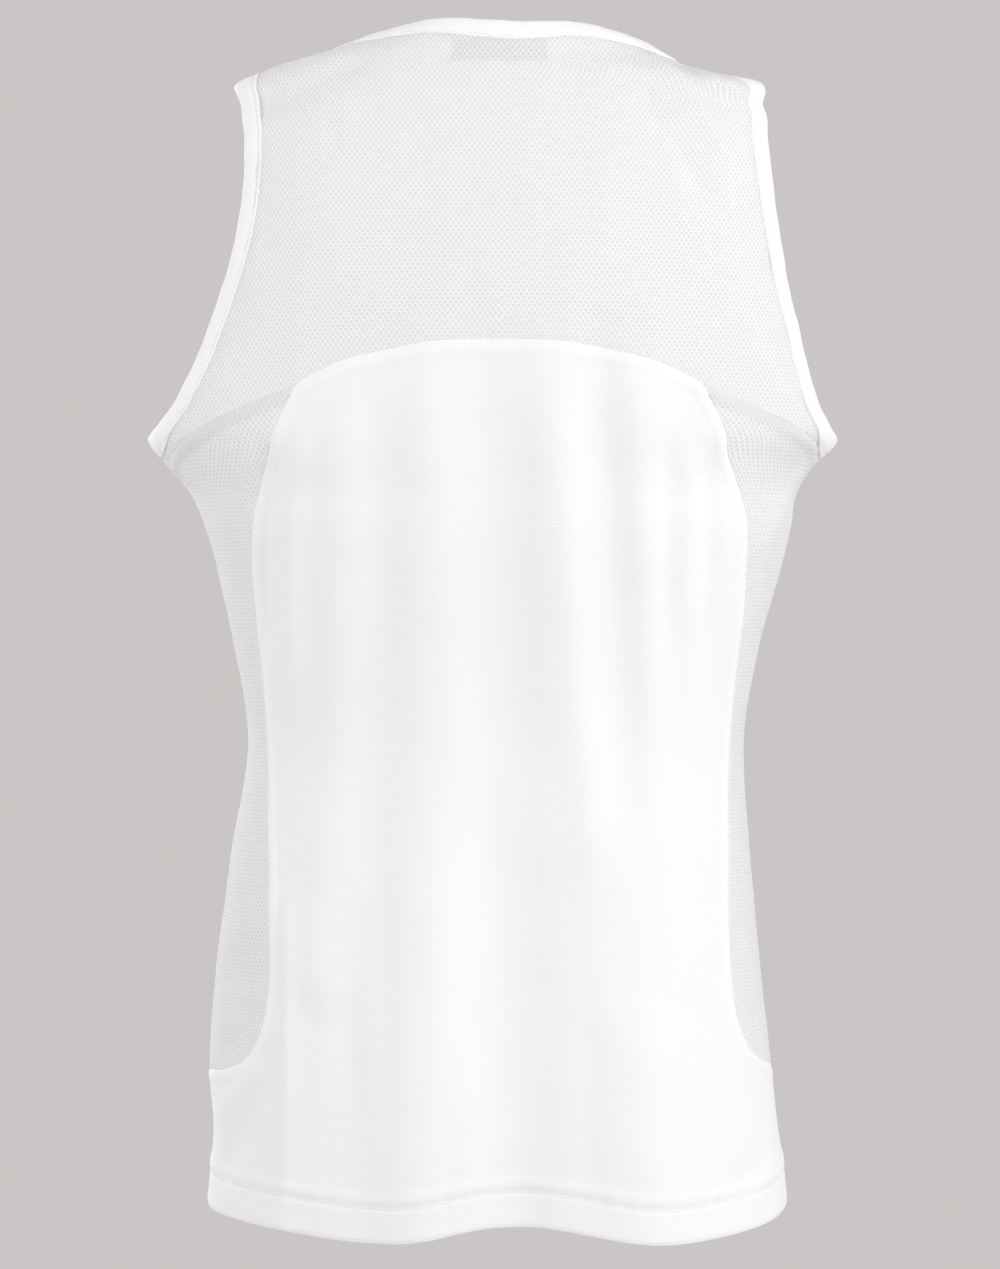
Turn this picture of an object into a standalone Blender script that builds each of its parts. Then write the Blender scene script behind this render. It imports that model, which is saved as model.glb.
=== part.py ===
"""A running singlet, worn and filled out, as the pieces that are cut and sewn.

Metres. X runs to the wearer's left, the back faces +Y and Z is up. The origin is
midway between the shoulders, where the wearer holds the singlet up.
"""
import math

import bmesh
import bpy
import numpy as np

CLOTH = 0.0012
HEM_FOLD = 0.0024
BINDING = 0.0022
LABEL = 0.0010
SEAM_GAP = 0.0003
LABEL_GAP = 0.0006
MERGE = 0.00001

# Layers: how deep a wall's inner face lies under the form, and how thick it is.
CLOTH_LAYER = (CLOTH, CLOTH)
HEM_LAYER = (HEM_FOLD, HEM_FOLD)
BINDING_LAYER = ((CLOTH + BINDING) / 2, BINDING)
LABEL_LAYER = (CLOTH + LABEL_GAP + LABEL, LABEL)

BINDING_WIDTH = 0.0105
HEM_HEIGHT = 0.0195
HEM_STEP = 0.0015
LABEL_SIZE = (0.056, 0.015)
LABEL_FROM_BINDING = 0.0006

# Sections of the worn form. Height is Z, left and right are half widths, back and
# front are depths, and squareness is the section's exponent (2 is an ellipse).
SECTION_COLUMNS = ("height", "left", "right", "back", "front", "squareness")
SECTIONS = (
    (-0.700, 0.177, 0.175, 0.121, 0.120, 2.3),
    (-0.665, 0.173, 0.171, 0.119, 0.120, 2.3),
    (-0.637, 0.171, 0.167, 0.118, 0.119, 2.3),
    (-0.600, 0.173, 0.163, 0.115, 0.118, 2.3),
    (-0.541, 0.169, 0.157, 0.109, 0.116, 2.3),
    (-0.470, 0.160, 0.150, 0.103, 0.113, 2.3),
    (-0.400, 0.1498, 0.147, 0.101, 0.112, 2.3),
    (-0.350, 0.158, 0.155, 0.105, 0.114, 2.3),
    (-0.313, 0.166, 0.165, 0.110, 0.117, 2.3),
    (-0.277, 0.1755, 0.1745, 0.115, 0.120, 2.3),
    (-0.253, 0.186, 0.179, 0.117, 0.122, 2.2),
    (-0.241, 0.196, 0.186, 0.118, 0.122, 2.2),
    (-0.2235, 0.2095, 0.2020, 0.119, 0.123, 2.2),
    (-0.205, 0.2075, 0.2015, 0.120, 0.123, 2.2),
    (-0.170, 0.195, 0.193, 0.119, 0.122, 2.2),
    (-0.138, 0.186, 0.187, 0.117, 0.120, 2.2),
    (-0.090, 0.180, 0.182, 0.109, 0.114, 2.2),
    (-0.050, 0.176, 0.179, 0.099, 0.102, 2.2),
    (-0.030, 0.170, 0.174, 0.093, 0.092, 2.2),
    (-0.012, 0.1570, 0.1575, 0.086, 0.080, 2.2),
    (-0.0085, 0.1500, 0.1410, 0.0845, 0.0765, 2.2),
    (-0.003, 0.1375, 0.1190, 0.082, 0.072, 2.2),
    (0.005, 0.1085, 0.1005, 0.079, 0.064, 2.2),
    (0.013, 0.0865, 0.0880, 0.075, 0.056, 2.2),
    (0.022, 0.0660, 0.0700, 0.070, 0.046, 2.2),
)

# Outer edge of the armhole from the underarm up to the shoulder: its distance from
# the centre at each height. The first row lies on the side, the last on the shoulder.
ARMHOLE_COLUMNS = ("height", "back_left", "back_right", "front")
ARMHOLE = (
    (-0.2230, None, None, None),
    (-0.2170, 0.2020, 0.1957, 0.1960),
    (-0.2030, 0.1902, 0.1875, 0.1860),
    (-0.1865, 0.1810, 0.1825, 0.1765),
    (-0.1700, 0.1738, 0.1785, 0.1680),
    (-0.1380, 0.1622, 0.1705, 0.1560),
    (-0.1060, 0.1535, 0.1650, 0.1490),
    (-0.0760, 0.1496, 0.1610, 0.1460),
    (-0.0450, 0.1494, 0.1576, 0.1460),
    (-0.0300, 0.1522, 0.1567, 0.1475),
    (-0.0200, 0.1548, 0.1573, 0.1500),
    (-0.0125, None, None, None),
)

# Neck edge: the back rises from the left and right shoulders to the nape, the front
# is a scoop.
NECK_SHOULDERS = (0.0102, 0.0078)
NAPE = 0.0178
BACK_NECK_LEFT = ((0.0740, 0.0143), (0.0570, 0.0172), (0.0420, 0.0198), (0.0270, 0.0197), (0.0, NAPE))
BACK_NECK_RIGHT = ((0.0160, 0.0170), (0.0300, 0.0179), (0.0450, 0.0184), (0.0590, 0.0165), (0.0740, 0.0138))
FRONT_NECK = ((0.0915, -0.0040), (0.0840, -0.0220), (0.0710, -0.0460), (0.0480, -0.0690), (0.0, -0.0800))

# Seams of the back as distances from the centre and heights, alike on both sides.
YOKE_END = -0.2420
YOKE_SIDE = ((0.1890, -0.2310), (0.1680, -0.2165), (0.1390, -0.2040))
PANEL_CORNER = (0.1170, -0.1960)
YOKE_ARCH = ((0.1020, -0.1880), (0.0860, -0.1820), (0.0660, -0.1775), (0.0430, -0.1732), (0.0, -0.1713))
PANEL_SEAM = (
    (0.1310, -0.2270), (0.1395, -0.2510), (0.1440, -0.2820), (0.1450, -0.3100),
    (0.1410, -0.3500), (0.1372, -0.3900), (0.1350, -0.4720), (0.1348, -0.5080),
)
PANEL_FOOT = ((0.1367, -0.5450), (0.1410, -0.5680), (0.1490, -0.5850), (0.1600, -0.5935))
PANEL_TOE = -0.5990

# Lower edge of the back, from the wearer's left side to the right.
HEM_SIDES = (-0.6790, -0.6770)
HEM_EDGE = ((0.142, -0.6830), (0.058, -0.6875), (-0.009, -0.6790), (-0.095, -0.6895), (-0.145, -0.6865))

# Soft folds of the back: places across at their upper end, middle and lower end, the
# heights of the ends, the half width, and how far they stand out (+) or in (-).
FOLD_COLUMNS = ("upper", "middle", "lower", "start", "end", "width", "rise")
FOLDS = (
    (0.0400, 0.0400, 0.0560, -0.19, -0.80, 0.026, 0.0060),
    (0.0070, -0.0030, -0.0140, -0.19, -0.80, 0.030, -0.0065),
    (-0.0300, -0.0420, -0.0560, -0.18, -0.47, 0.018, 0.0040),
    (-0.0560, -0.0660, -0.0700, -0.18, -0.45, 0.014, -0.0045),
    (-0.0800, -0.0880, -0.0950, -0.18, -0.47, 0.015, 0.0035),
    (-0.0880, -0.0900, -0.0950, -0.45, -0.80, 0.034, 0.0075),
    (0.0650, 0.0740, 0.0960, -0.19, -0.66, 0.016, -0.0045),
    (0.0980, 0.0970, 0.1160, -0.21, -0.68, 0.017, 0.0040),
)
FOLD_FADE = 0.055

# Quads along each edge. Pieces that share a seam share its points.
ACROSS_SIDE = 4
ACROSS_BACK = 24
ACROSS_SHOULDER = 4
ACROSS_FRONT_NECK = 18
DOWN_ARMHOLE = 14
DOWN_PANEL = 10
DOWN_FOOT = 5
DOWN_HIP = 5
TONGUE_ACROSS = 2
ACROSS_BACK_NECK = ACROSS_BACK + 2 * (ACROSS_SIDE - TONGUE_ACROSS - ACROSS_SHOULDER)
EVENING_ROUNDS = 400

COLLECTION = "running_singlet"
WHITE_KNIT = (0.86, 0.86, 0.87, 1.0)
WHITE_MESH = (0.82, 0.82, 0.84, 1.0)
WHITE_BINDING = (0.90, 0.90, 0.91, 1.0)
GREY_LABEL = (0.62, 0.62, 0.64, 1.0)

LEFT = 1
RIGHT = -1
BACK = 1
FRONT = -1


def column(table, names, name):
    place = names.index(name)
    return np.array([row[place] for row in table], dtype=float)


def smooth(places, values, at):
    """Cubic curve through a column of values."""
    slopes = np.gradient(values, places)
    first = np.clip(np.searchsorted(places, at) - 1, 0, len(places) - 2)
    span = places[first + 1] - places[first]
    part = np.clip((at - places[first]) / span, 0.0, 1.0)
    square = part * part
    cube = square * part
    start = (2 * cube - 3 * square + 1) * values[first] + (cube - 2 * square + part) * span * slopes[first]
    end = (3 * square - 2 * cube) * values[first + 1] + (cube - square) * span * slopes[first + 1]
    return start + end


def section(name, height):
    return smooth(
        column(SECTIONS, SECTION_COLUMNS, "height"),
        column(SECTIONS, SECTION_COLUMNS, name),
        height,
    )


def fold_rise(across, height):
    """How far the folds move the back out at a place across and a height."""
    rise = 0.0
    for row in FOLDS:
        fold = dict(zip(FOLD_COLUMNS, row))
        down = np.clip((fold["start"] - height) / (fold["start"] - fold["end"]), 0.0, 1.0)
        upper = (1 - down) ** 2 * fold["upper"]
        middle = 2 * down * (1 - down) * (2 * fold["middle"] - (fold["upper"] + fold["lower"]) / 2)
        crest = upper + middle + down ** 2 * fold["lower"]
        grow = 0.5 + 0.5 * np.tanh((fold["start"] - height) / FOLD_FADE * 2)
        fade = 0.5 + 0.5 * np.tanh((height - fold["end"]) / FOLD_FADE * 2)
        rise = rise + fold["rise"] * grow * fade * np.exp(-((across - crest) / fold["width"]) ** 2)
    return rise


def form(angle, height):
    """Point of the worn form: angle 0 is the left side and a quarter turn the back."""
    cosine = np.cos(angle)
    sine = np.sin(angle)
    power = 2 / section("squareness", height)
    half = np.where(cosine > 0, section("left", height), section("right", height))
    depth = np.where(sine > 0, section("back", height), section("front", height))
    across = half * np.sign(cosine) * np.abs(cosine) ** power
    out = depth * np.sign(sine) * np.abs(sine) ** power
    out = out + np.where(sine > 0, fold_rise(across, height) * sine ** 2, 0.0)
    return np.array([across, out, height], dtype=float)


def form_slopes(angle, height):
    """Change of the form's point along its angle and along its height."""
    step = 0.0005
    along = (form(angle + step, height) - form(angle - step, height)) / (2 * step)
    up = (form(angle, height + step) - form(angle, height - step)) / (2 * step)
    return along, up


def form_normal(angle, height):
    along, up = form_slopes(angle, height)
    normal = np.cross(along, up)
    return normal / np.linalg.norm(normal)


def angle_at(across, height, face):
    """Angle of the form's point at a signed distance from the centre."""
    half = section("left" if across > 0 else "right", height)
    ratio = min(abs(across) / half, 1.0)
    turn = math.acos(ratio ** (section("squareness", height) / 2))
    return face * (turn if across > 0 else math.pi - turn)


def side_angle(side, face):
    return 0.0 if side == LEFT else face * math.pi


def on_form(points, face):
    """Angles and heights of places given by their distance across and height."""
    return [(angle_at(across, height, face), height) for across, height in points]


def on_side(points, side):
    """Angles and heights of places on one side of the back."""
    return on_form([(side * across, height) for across, height in points], BACK)


def spread(points, count):
    """Smooth curve through angle and height pairs, in a number of even stretches."""
    points = np.array(points, dtype=float)
    solid = np.array([form(angle, height) for angle, height in points])
    length = np.concatenate(([0.0], np.cumsum(np.linalg.norm(np.diff(solid, axis=0), axis=1))))
    at = np.linspace(0.0, length[-1], count + 1)
    angles = smooth(length, points[:, 0], at)
    heights = smooth(length, points[:, 1], at)
    return list(zip(angles, heights))


def walk(angle, height, direction, distance):
    """Height reached by walking a distance on the form at a fixed angle."""
    steps = 20
    for _ in range(steps):
        slope = np.linalg.norm(form_slopes(angle, height)[1])
        height = height + direction * distance / steps / slope
    return height


def moved_in(edge, width, end_directions):
    """Edge moved a width across the form, away from the opening it bounds. Its two ends
    stay on their side line and go up (1) or down (-1)."""
    inner = []
    last = len(edge) - 1
    centre = (form(*edge[0]) + form(*edge[-1])) / 2
    for place, (angle, height) in enumerate(edge):
        if place in (0, last):
            direction = end_directions[0 if place == 0 else 1]
            inner.append((angle, walk(angle, height, direction, width)))
            continue
        before = form(*edge[place - 1])
        after = form(*edge[place + 1])
        tangent = (after - before) / np.linalg.norm(after - before)
        across = np.cross(form_normal(angle, height), tangent)
        if across @ (form(angle, height) - centre) < 0:
            across = -across
        inner.append(shifted(angle, height, across * width))
    return inner


def armhole_edge(side, face):
    """Outer edge of the armhole from the underarm to the shoulder on one face."""
    if face == FRONT:
        name = "front"
    else:
        name = "back_left" if side == LEFT else "back_right"
    heights = column(ARMHOLE, ARMHOLE_COLUMNS, "height")
    across = column(ARMHOLE, ARMHOLE_COLUMNS, name)
    inside = on_form([(side * place, height) for place, height in zip(across[1:-1], heights[1:-1])], face)
    ends = side_angle(side, face)
    return spread([(ends, heights[0])] + inside + [(ends, heights[-1])], DOWN_ARMHOLE)


def neck_edge(face):
    """Edge of the neck from the left shoulder to the right on one face."""
    first = (0.0, NECK_SHOULDERS[0])
    last = (face * math.pi, NECK_SHOULDERS[1])
    if face == BACK:
        between = on_side(BACK_NECK_LEFT, LEFT) + on_side(BACK_NECK_RIGHT, RIGHT)
        return spread([first] + between + [last], ACROSS_BACK_NECK)
    left = on_form(FRONT_NECK, face)
    right = on_form([(-across, height) for across, height in FRONT_NECK[-2::-1]], face)
    return spread([first] + left + right + [last], ACROSS_FRONT_NECK)


def yoke_seam(side):
    """The part of the yoke seam over one side panel, from the side inwards."""
    end = [(side_angle(side, BACK), YOKE_END)]
    return spread(end + on_side(YOKE_SIDE + (PANEL_CORNER,), side), ACROSS_SIDE)


def yoke_arch():
    """The part of the yoke seam between the two side panels, from left to right."""
    half = (PANEL_CORNER,) + YOKE_ARCH
    return spread(on_side(half, LEFT) + on_side(half[-2::-1], RIGHT), ACROSS_BACK)


def panel_seam(side):
    """Inner seam of a side panel, from the yoke seam down and round to the side."""
    upper = on_side((PANEL_CORNER,) + PANEL_SEAM, side)
    foot = on_side(PANEL_FOOT, side)
    toe = [(side_angle(side, BACK), PANEL_TOE)]
    return spread(upper + foot[:1], DOWN_PANEL) + spread(foot + toe, DOWN_FOOT)[1:]


def side_seam(side, face):
    """Side seam from the underarm binding down to the hem."""
    angle = side_angle(side, face)
    top = walk(angle, ARMHOLE[0][0], -1, BINDING_WIDTH)
    bottom = HEM_SIDES[0 if side == LEFT else 1]
    foot = PANEL_FOOT[0][1]
    toe = PANEL_TOE + HEM_STEP
    stitch = bottom + HEM_HEIGHT
    stretches = ((YOKE_END, foot, DOWN_PANEL), (foot, toe, DOWN_FOOT), (PANEL_TOE, stitch, DOWN_HIP))
    heights = [top]
    for start, end, count in stretches:
        heights += list(np.linspace(start, end, count + 1)[(1 if start == foot else 0):])
    heights += [stitch - HEM_STEP, bottom]
    return [(angle, height) for height in heights]


def hem_edge(face, count):
    """Lower edge from the left side to the right."""
    ends = [(side_angle(LEFT, face), HEM_SIDES[0]), (side_angle(RIGHT, face), HEM_SIDES[1])]
    if face == BACK:
        points = [ends[0]] + on_form(HEM_EDGE, BACK) + [ends[1]]
    else:
        angles = np.linspace(0.0, -math.pi, 9)
        points = [(angle, HEM_SIDES[0] + (HEM_SIDES[1] - HEM_SIDES[0]) * -angle / math.pi) for angle in angles]
    return spread(points, count)


def raised(edge, height):
    return [(angle, low + height) for angle, low in edge]


def patch(low, high, left, right):
    """Grid of angle and height pairs between four edges that meet at the corners."""
    low, high, left, right = (np.array(edge) for edge in (low, high, left, right))
    rows = []
    for up in range(len(left)):
        rise = up / (len(left) - 1)
        over = np.linspace(0.0, 1.0, len(low))[:, None]
        between = (1 - rise) * low + rise * high
        sides = (1 - over) * left[up] + over * right[up]
        corner_low = (1 - over) * low[0] + over * low[-1]
        corner_high = (1 - over) * high[0] + over * high[-1]
        rows.append(between + sides - (1 - rise) * corner_low - rise * corner_high)
    return evened(np.array(rows))


def unrolled(grid):
    """Places of a grid on the cloth laid nearly flat, centred on its face."""
    angle, height = grid[..., 0], grid[..., 1]
    centre = math.copysign(math.pi / 2, angle.mean())
    return np.stack([(angle - centre) * mean_radius(height), np.interp(height, *side_lengths())], axis=-1), centre


def rolled(flat, centre):
    """Angles and heights of places on the cloth laid nearly flat."""
    heights, lengths = side_lengths()
    height = np.interp(flat[..., 1], lengths, heights)
    return np.stack([flat[..., 0] / mean_radius(height) + centre, height], axis=-1)


def mean_radius(height):
    half = (section("left", height) + section("right", height)) / 2
    return np.sqrt((half ** 2 + section("back", height) ** 2) / 2)


def side_lengths():
    """Heights up the side of the form, and the lengths walked along it to reach them."""
    heights = np.linspace(SECTIONS[0][0], SECTIONS[-1][0], 300)
    steps = np.hypot(np.diff(heights), np.diff(section("left", heights)))
    return heights, np.concatenate(([0.0], np.cumsum(steps)))


def evened(grid):
    """Grid with its inner points moved until its lines run smoothly and never cross."""
    grid, centre = unrolled(grid)
    for _ in range(EVENING_ROUNDS):
        over = (grid[1:-1, 2:] - grid[1:-1, :-2]) / 2
        up = (grid[2:, 1:-1] - grid[:-2, 1:-1]) / 2
        over_weight = np.sum(up * up, axis=2)[..., None]
        up_weight = np.sum(over * over, axis=2)[..., None]
        skew = np.sum(over * up, axis=2)[..., None]
        beside = grid[1:-1, 2:] + grid[1:-1, :-2]
        above = grid[2:, 1:-1] + grid[:-2, 1:-1]
        corners = grid[2:, 2:] - grid[2:, :-2] - grid[:-2, 2:] + grid[:-2, :-2]
        total = 2 * (over_weight + up_weight) + 1e-12
        grid[1:-1, 1:-1] = (over_weight * beside + up_weight * above - skew * corners / 2) / total
    return list(rolled(grid, centre))


def shifted(angle, height, move):
    """Angle and height of the place reached by a small move across the form."""
    along, up = form_slopes(angle, height)
    turn = np.linalg.lstsq(np.stack([along, up], axis=1), move, rcond=None)[0]
    return angle + turn[0], height + turn[1]


def drawn_in(low, right, high, left):
    """Four edges of a piece, drawn in from its seams by half the gap between pieces."""
    corners = np.cumsum([0, len(low) - 1, len(right) - 1, len(high) - 1])
    loop = low[:-1] + right[:-1] + high[:0:-1] + left[:0:-1]
    moved = []
    for place, (angle, height) in enumerate(loop):
        tangent = form(*loop[(place + 1) % len(loop)]) - form(*loop[place - 1])
        inward = np.cross(form_normal(angle, height), tangent)
        moved.append(shifted(angle, height, inward / np.linalg.norm(inward) * SEAM_GAP / 2))
    moved.append(moved[0])
    low, right, high, left = (
        moved[corners[0]:corners[1] + 1],
        moved[corners[1]:corners[2] + 1],
        moved[corners[2]:corners[3] + 1][::-1],
        moved[corners[3]:][::-1],
    )
    return low, right, high, left


def material(name, colour, roughness):
    made = bpy.data.materials.new(name)
    made.use_nodes = True
    shader = made.node_tree.nodes["Principled BSDF"]
    shader.inputs["Base Color"].default_value = colour
    shader.inputs["Roughness"].default_value = roughness
    shader.inputs["Metallic"].default_value = 0.0
    return made


def wall(name, grids, finish, closed=False):
    """Wall between two faces that both follow the form, so that pieces sewn together
    keep their gap through the whole thickness. A grid is its rows of angle and height
    pairs and, for each row, how deep the inner face lies and how thick the wall is."""
    sheet = bmesh.new()
    outer_face = sheet.verts.layers.float_vector.new("outer face")
    for rows, layers in grids:
        corners = []
        for row, (depth, thickness) in zip(rows, layers):
            line = []
            for place in row:
                normal = form_normal(*place)
                corner = sheet.verts.new(form(*place) - depth * normal)
                corner[outer_face] = form(*place) - (depth - thickness) * normal
                line.append(corner)
            corners.append(line)
        across = len(corners[0])
        for low, high in zip(corners, corners[1:]):
            for place in range(across if closed else across - 1):
                beside = (place + 1) % across
                sheet.faces.new((low[place], low[beside], high[beside], high[place]))
    bmesh.ops.remove_doubles(sheet, verts=sheet.verts, dist=MERGE)
    made = bmesh.ops.extrude_face_region(sheet, geom=sheet.faces[:], use_keep_orig=True)
    for corner in made["geom"]:
        if isinstance(corner, bmesh.types.BMVert):
            corner.co = corner[outer_face]
    bmesh.ops.recalc_face_normals(sheet, faces=sheet.faces)
    mesh = bpy.data.meshes.new(name)
    sheet.to_mesh(mesh)
    sheet.free()
    mesh.shade_smooth()
    mesh.set_sharp_from_angle(angle=math.radians(40))
    mesh.materials.append(finish)
    piece = bpy.data.objects.new(name, mesh)
    bpy.data.collections[COLLECTION].objects.link(piece)


def layered(rows, layer):
    return rows, [layer] * len(rows)


def shoulders(left, right, neck):
    """Upper edge of a face: shoulder, neck and shoulder, from left to right."""
    ends = [spread([armhole[-1], end], ACROSS_SHOULDER) for armhole, end in ((left, neck[0]), (right, neck[-1]))]
    return ends[0][:-1] + neck + ends[1][-2::-1]


def build_yoke(finish):
    """Mesh yoke: shoulders, upper back and a tongue under each armhole."""
    neck = moved_in(neck_edge(BACK), BINDING_WIDTH, (-1, -1))
    left, right = (
        [(side_angle(side, BACK), YOKE_END)] + moved_in(armhole_edge(side, BACK), BINDING_WIDTH, (-1, 1))
        for side in (LEFT, RIGHT)
    )
    high = shoulders(left, right, neck)
    low = yoke_seam(LEFT)[:-1] + yoke_arch() + yoke_seam(RIGHT)[-2::-1]
    low, right, high, left = drawn_in(low, right, high, left)
    inner = TONGUE_ACROSS
    middle = patch(low[inner:-inner], high, [low[inner]] + left[inner + 1:], [low[-inner - 1]] + right[inner + 1:])
    tongues = (
        [low[:inner + 1], left[1:inner + 2]],
        [low[-inner - 1:], right[inner + 1:0:-1]],
    )
    wall("back_yoke", [layered(rows, CLOTH_LAYER) for rows in (middle, *tongues)], finish)


def build_side_panel(name, side, finish):
    """Mesh side panel with a rounded foot at the hip."""
    inner = panel_seam(side)[::-1]
    inner[0] = (inner[0][0], PANEL_TOE)
    outer = side_seam(side, BACK)[1:DOWN_PANEL + DOWN_FOOT + 2][::-1]
    low = spread([outer[0], inner[0]], ACROSS_SIDE)
    high = yoke_seam(side)
    if side == RIGHT:
        low, high, outer, inner = low[::-1], high[::-1], inner, outer
    low, inner, high, outer = drawn_in(low, inner, high, outer)
    wall(name, [layered(patch(low, high, outer, inner), CLOTH_LAYER)], finish)


def hemmed(low, right, high, left):
    """Grid from the hem up, whose two lowest rows are the turned hem."""
    fold = [left[1]] + raised(low[1:-1], HEM_HEIGHT - HEM_STEP) + [right[1]]
    stitch = [left[2]] + raised(low[1:-1], HEM_HEIGHT) + [right[2]]
    rows = [low, fold] + patch(stitch, high, left[2:], right[2:])
    return rows, [HEM_LAYER] * 2 + [CLOTH_LAYER] * (len(rows) - 2)


def build_lower_back(finish):
    """Knit lower back with its turned hem."""
    left, right = (
        (panel_seam(side) + side_seam(side, BACK)[DOWN_PANEL + DOWN_FOOT + 3:])[::-1]
        for side in (LEFT, RIGHT)
    )
    wall("back_body", [hemmed(*drawn_in(hem_edge(BACK, ACROSS_BACK), right, yoke_arch(), left))], finish)


def plumb_line(low, high, heights):
    """Line from a place on the hem up to one on the armhole, in step with the side seam."""
    start = low[1] + HEM_HEIGHT
    line = [low] + raised([low], HEM_HEIGHT - HEM_STEP)
    for height in heights[2:]:
        part = (height - heights[2]) / (heights[-1] - heights[2])
        line.append((low[0] + (high[0] - low[0]) * part, start + (high[1] - start) * part))
    return line


def build_front(finish):
    """Knit front in one piece, with its turned hem: a middle and a strip under each armhole."""
    neck = moved_in(neck_edge(FRONT), BINDING_WIDTH, (-1, -1))
    seams = [side_seam(side, FRONT)[:0:-1] for side in (RIGHT, LEFT)]
    left, right = (
        seam + moved_in(armhole_edge(side, FRONT), BINDING_WIDTH, (-1, 1))
        for seam, side in zip(seams, (RIGHT, LEFT))
    )
    high = shoulders(right, left, neck)[::-1]
    low = hem_edge(FRONT, len(high) - 1 + 2 * TONGUE_ACROSS)[::-1]
    low, right, high, left = drawn_in(low, right, high, left)
    inner = TONGUE_ACROSS
    under = len(seams[0])
    line_left = plumb_line(low[inner], left[under + inner], [height for _, height in left[:under + 1]])
    line_right = plumb_line(low[-inner - 1], right[under + inner], [height for _, height in right[:under + 1]])
    grids = [
        hemmed(low[:inner + 1], line_left, left[under:under + inner + 1], left[:under + 1]),
        hemmed(low[-inner - 1:], right[:under + 1], right[under + inner:under - 1:-1], line_right),
        hemmed(
            low[inner:-inner], line_right + right[under + inner + 1:],
            high, line_left + left[under + inner + 1:],
        ),
    ]
    wall("front_panel", grids, finish)


def ring(name, outer, inner, finish):
    """Closed binding between the edge of an opening and the panels around it."""
    wall(name, [layered([inner, outer], BINDING_LAYER)], finish, closed=True)


def build_neck_binding(finish):
    outer = neck_edge(BACK) + neck_edge(FRONT)[-2:0:-1]
    width = BINDING_WIDTH - SEAM_GAP / 2
    inner = moved_in(neck_edge(BACK), width, (-1, -1))
    inner += moved_in(neck_edge(FRONT), width, (-1, -1))[-2:0:-1]
    ring("neck_binding", outer, inner, finish)


def build_armhole_binding(name, side, finish):
    faces = (BACK, FRONT) if side == RIGHT else (FRONT, BACK)
    first, second = (armhole_edge(side, face) for face in faces)
    outer = first + second[-2:0:-1]
    width = BINDING_WIDTH - SEAM_GAP / 2
    inner = moved_in(first, width, (-1, 1)) + moved_in(second, width, (-1, 1))[-2:0:-1]
    ring(name, outer, inner, finish)


def build_label(finish):
    """Blank label inside the nape, hung from the neck binding."""
    width, drop = LABEL_SIZE
    top = walk(math.pi / 2, NAPE, -1, BINDING_WIDTH + LABEL_FROM_BINDING)
    rows = []
    for height in np.linspace(walk(math.pi / 2, top, -1, drop), top, 3):
        row = [(angle_at(across, height, BACK), height) for across in np.linspace(width / 2, -width / 2, 9)]
        rows.append(row)
    wall("neck_label", [layered(rows, LABEL_LAYER)], finish)


def clear_scene():
    for old in list(bpy.data.objects):
        bpy.data.objects.remove(old)


def build():
    clear_scene()
    collection = bpy.data.collections.new(COLLECTION)
    bpy.context.scene.collection.children.link(collection)
    knit = material("knit", WHITE_KNIT, 0.75)
    mesh_cloth = material("mesh", WHITE_MESH, 0.8)
    trim = material("binding", WHITE_BINDING, 0.6)
    label = material("label", GREY_LABEL, 0.6)
    build_yoke(mesh_cloth)
    build_lower_back(knit)
    build_side_panel("side_panel_left", LEFT, mesh_cloth)
    build_side_panel("side_panel_right", RIGHT, mesh_cloth)
    build_front(knit)
    build_neck_binding(trim)
    build_armhole_binding("armhole_binding_left", LEFT, trim)
    build_armhole_binding("armhole_binding_right", RIGHT, trim)
    build_label(label)


build()
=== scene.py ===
import math

import bpy
import numpy as np
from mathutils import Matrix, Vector


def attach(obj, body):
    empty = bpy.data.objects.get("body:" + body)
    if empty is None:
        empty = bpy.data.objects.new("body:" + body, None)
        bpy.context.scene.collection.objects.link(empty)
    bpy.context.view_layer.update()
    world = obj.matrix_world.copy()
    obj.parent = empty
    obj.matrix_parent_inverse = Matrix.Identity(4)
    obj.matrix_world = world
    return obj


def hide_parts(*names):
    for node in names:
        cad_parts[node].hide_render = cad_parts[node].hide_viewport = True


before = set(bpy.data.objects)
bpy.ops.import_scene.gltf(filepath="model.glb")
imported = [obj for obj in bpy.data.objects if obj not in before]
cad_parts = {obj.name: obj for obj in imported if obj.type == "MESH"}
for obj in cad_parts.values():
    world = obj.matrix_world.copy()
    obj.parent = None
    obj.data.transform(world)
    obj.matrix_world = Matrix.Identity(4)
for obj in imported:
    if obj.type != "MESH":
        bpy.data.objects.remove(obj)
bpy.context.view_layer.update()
print("frame loaded")

camera = {"place": (-0.0006, 2.4, -0.34), "lens": 113.475, "sensor": 36.0}
studio = {
    "backdrop": (0.5906, 0.5647, 0.5583, 1.0),
    "floorRadius": 1.25, "floorHeight": -1.2, "floorRoughness": 0.9,
    "aim": (0.0, 0.0, -0.35), "lampColour": (0.957, 1.0, 1.0),
}
lampColumns = ("name", "place", "size", "power")
lamps = (
    ("keyLamp", (-2.0, 2.1, 0.6), 1.3, 31.5),
    ("fillLamp", (1.6, 2.4, 0.35), 1.8, 18.5),
    ("sideLampRight", (-2.4, 0.5, -0.1), 1.8, 12.6),
    ("sideLampLeft", (2.4, 0.5, 0.2), 1.8, 10.6),
    ("frontLamp", (1.4, -2.3, 0.3), 1.6, 26.0),
)


def deselect():
    if bpy.context.object and bpy.context.object.mode != "OBJECT":
        bpy.ops.object.mode_set(mode="OBJECT")
    bpy.ops.object.select_all(action="DESELECT")


def editWhole(*steps):
    bpy.ops.object.mode_set(mode="EDIT")
    bpy.ops.mesh.select_all(action="SELECT")
    for step in steps:
        step()
    bpy.ops.object.mode_set(mode="OBJECT")


def sewnAlong(piece):
    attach(piece, "root")
    return piece


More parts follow.
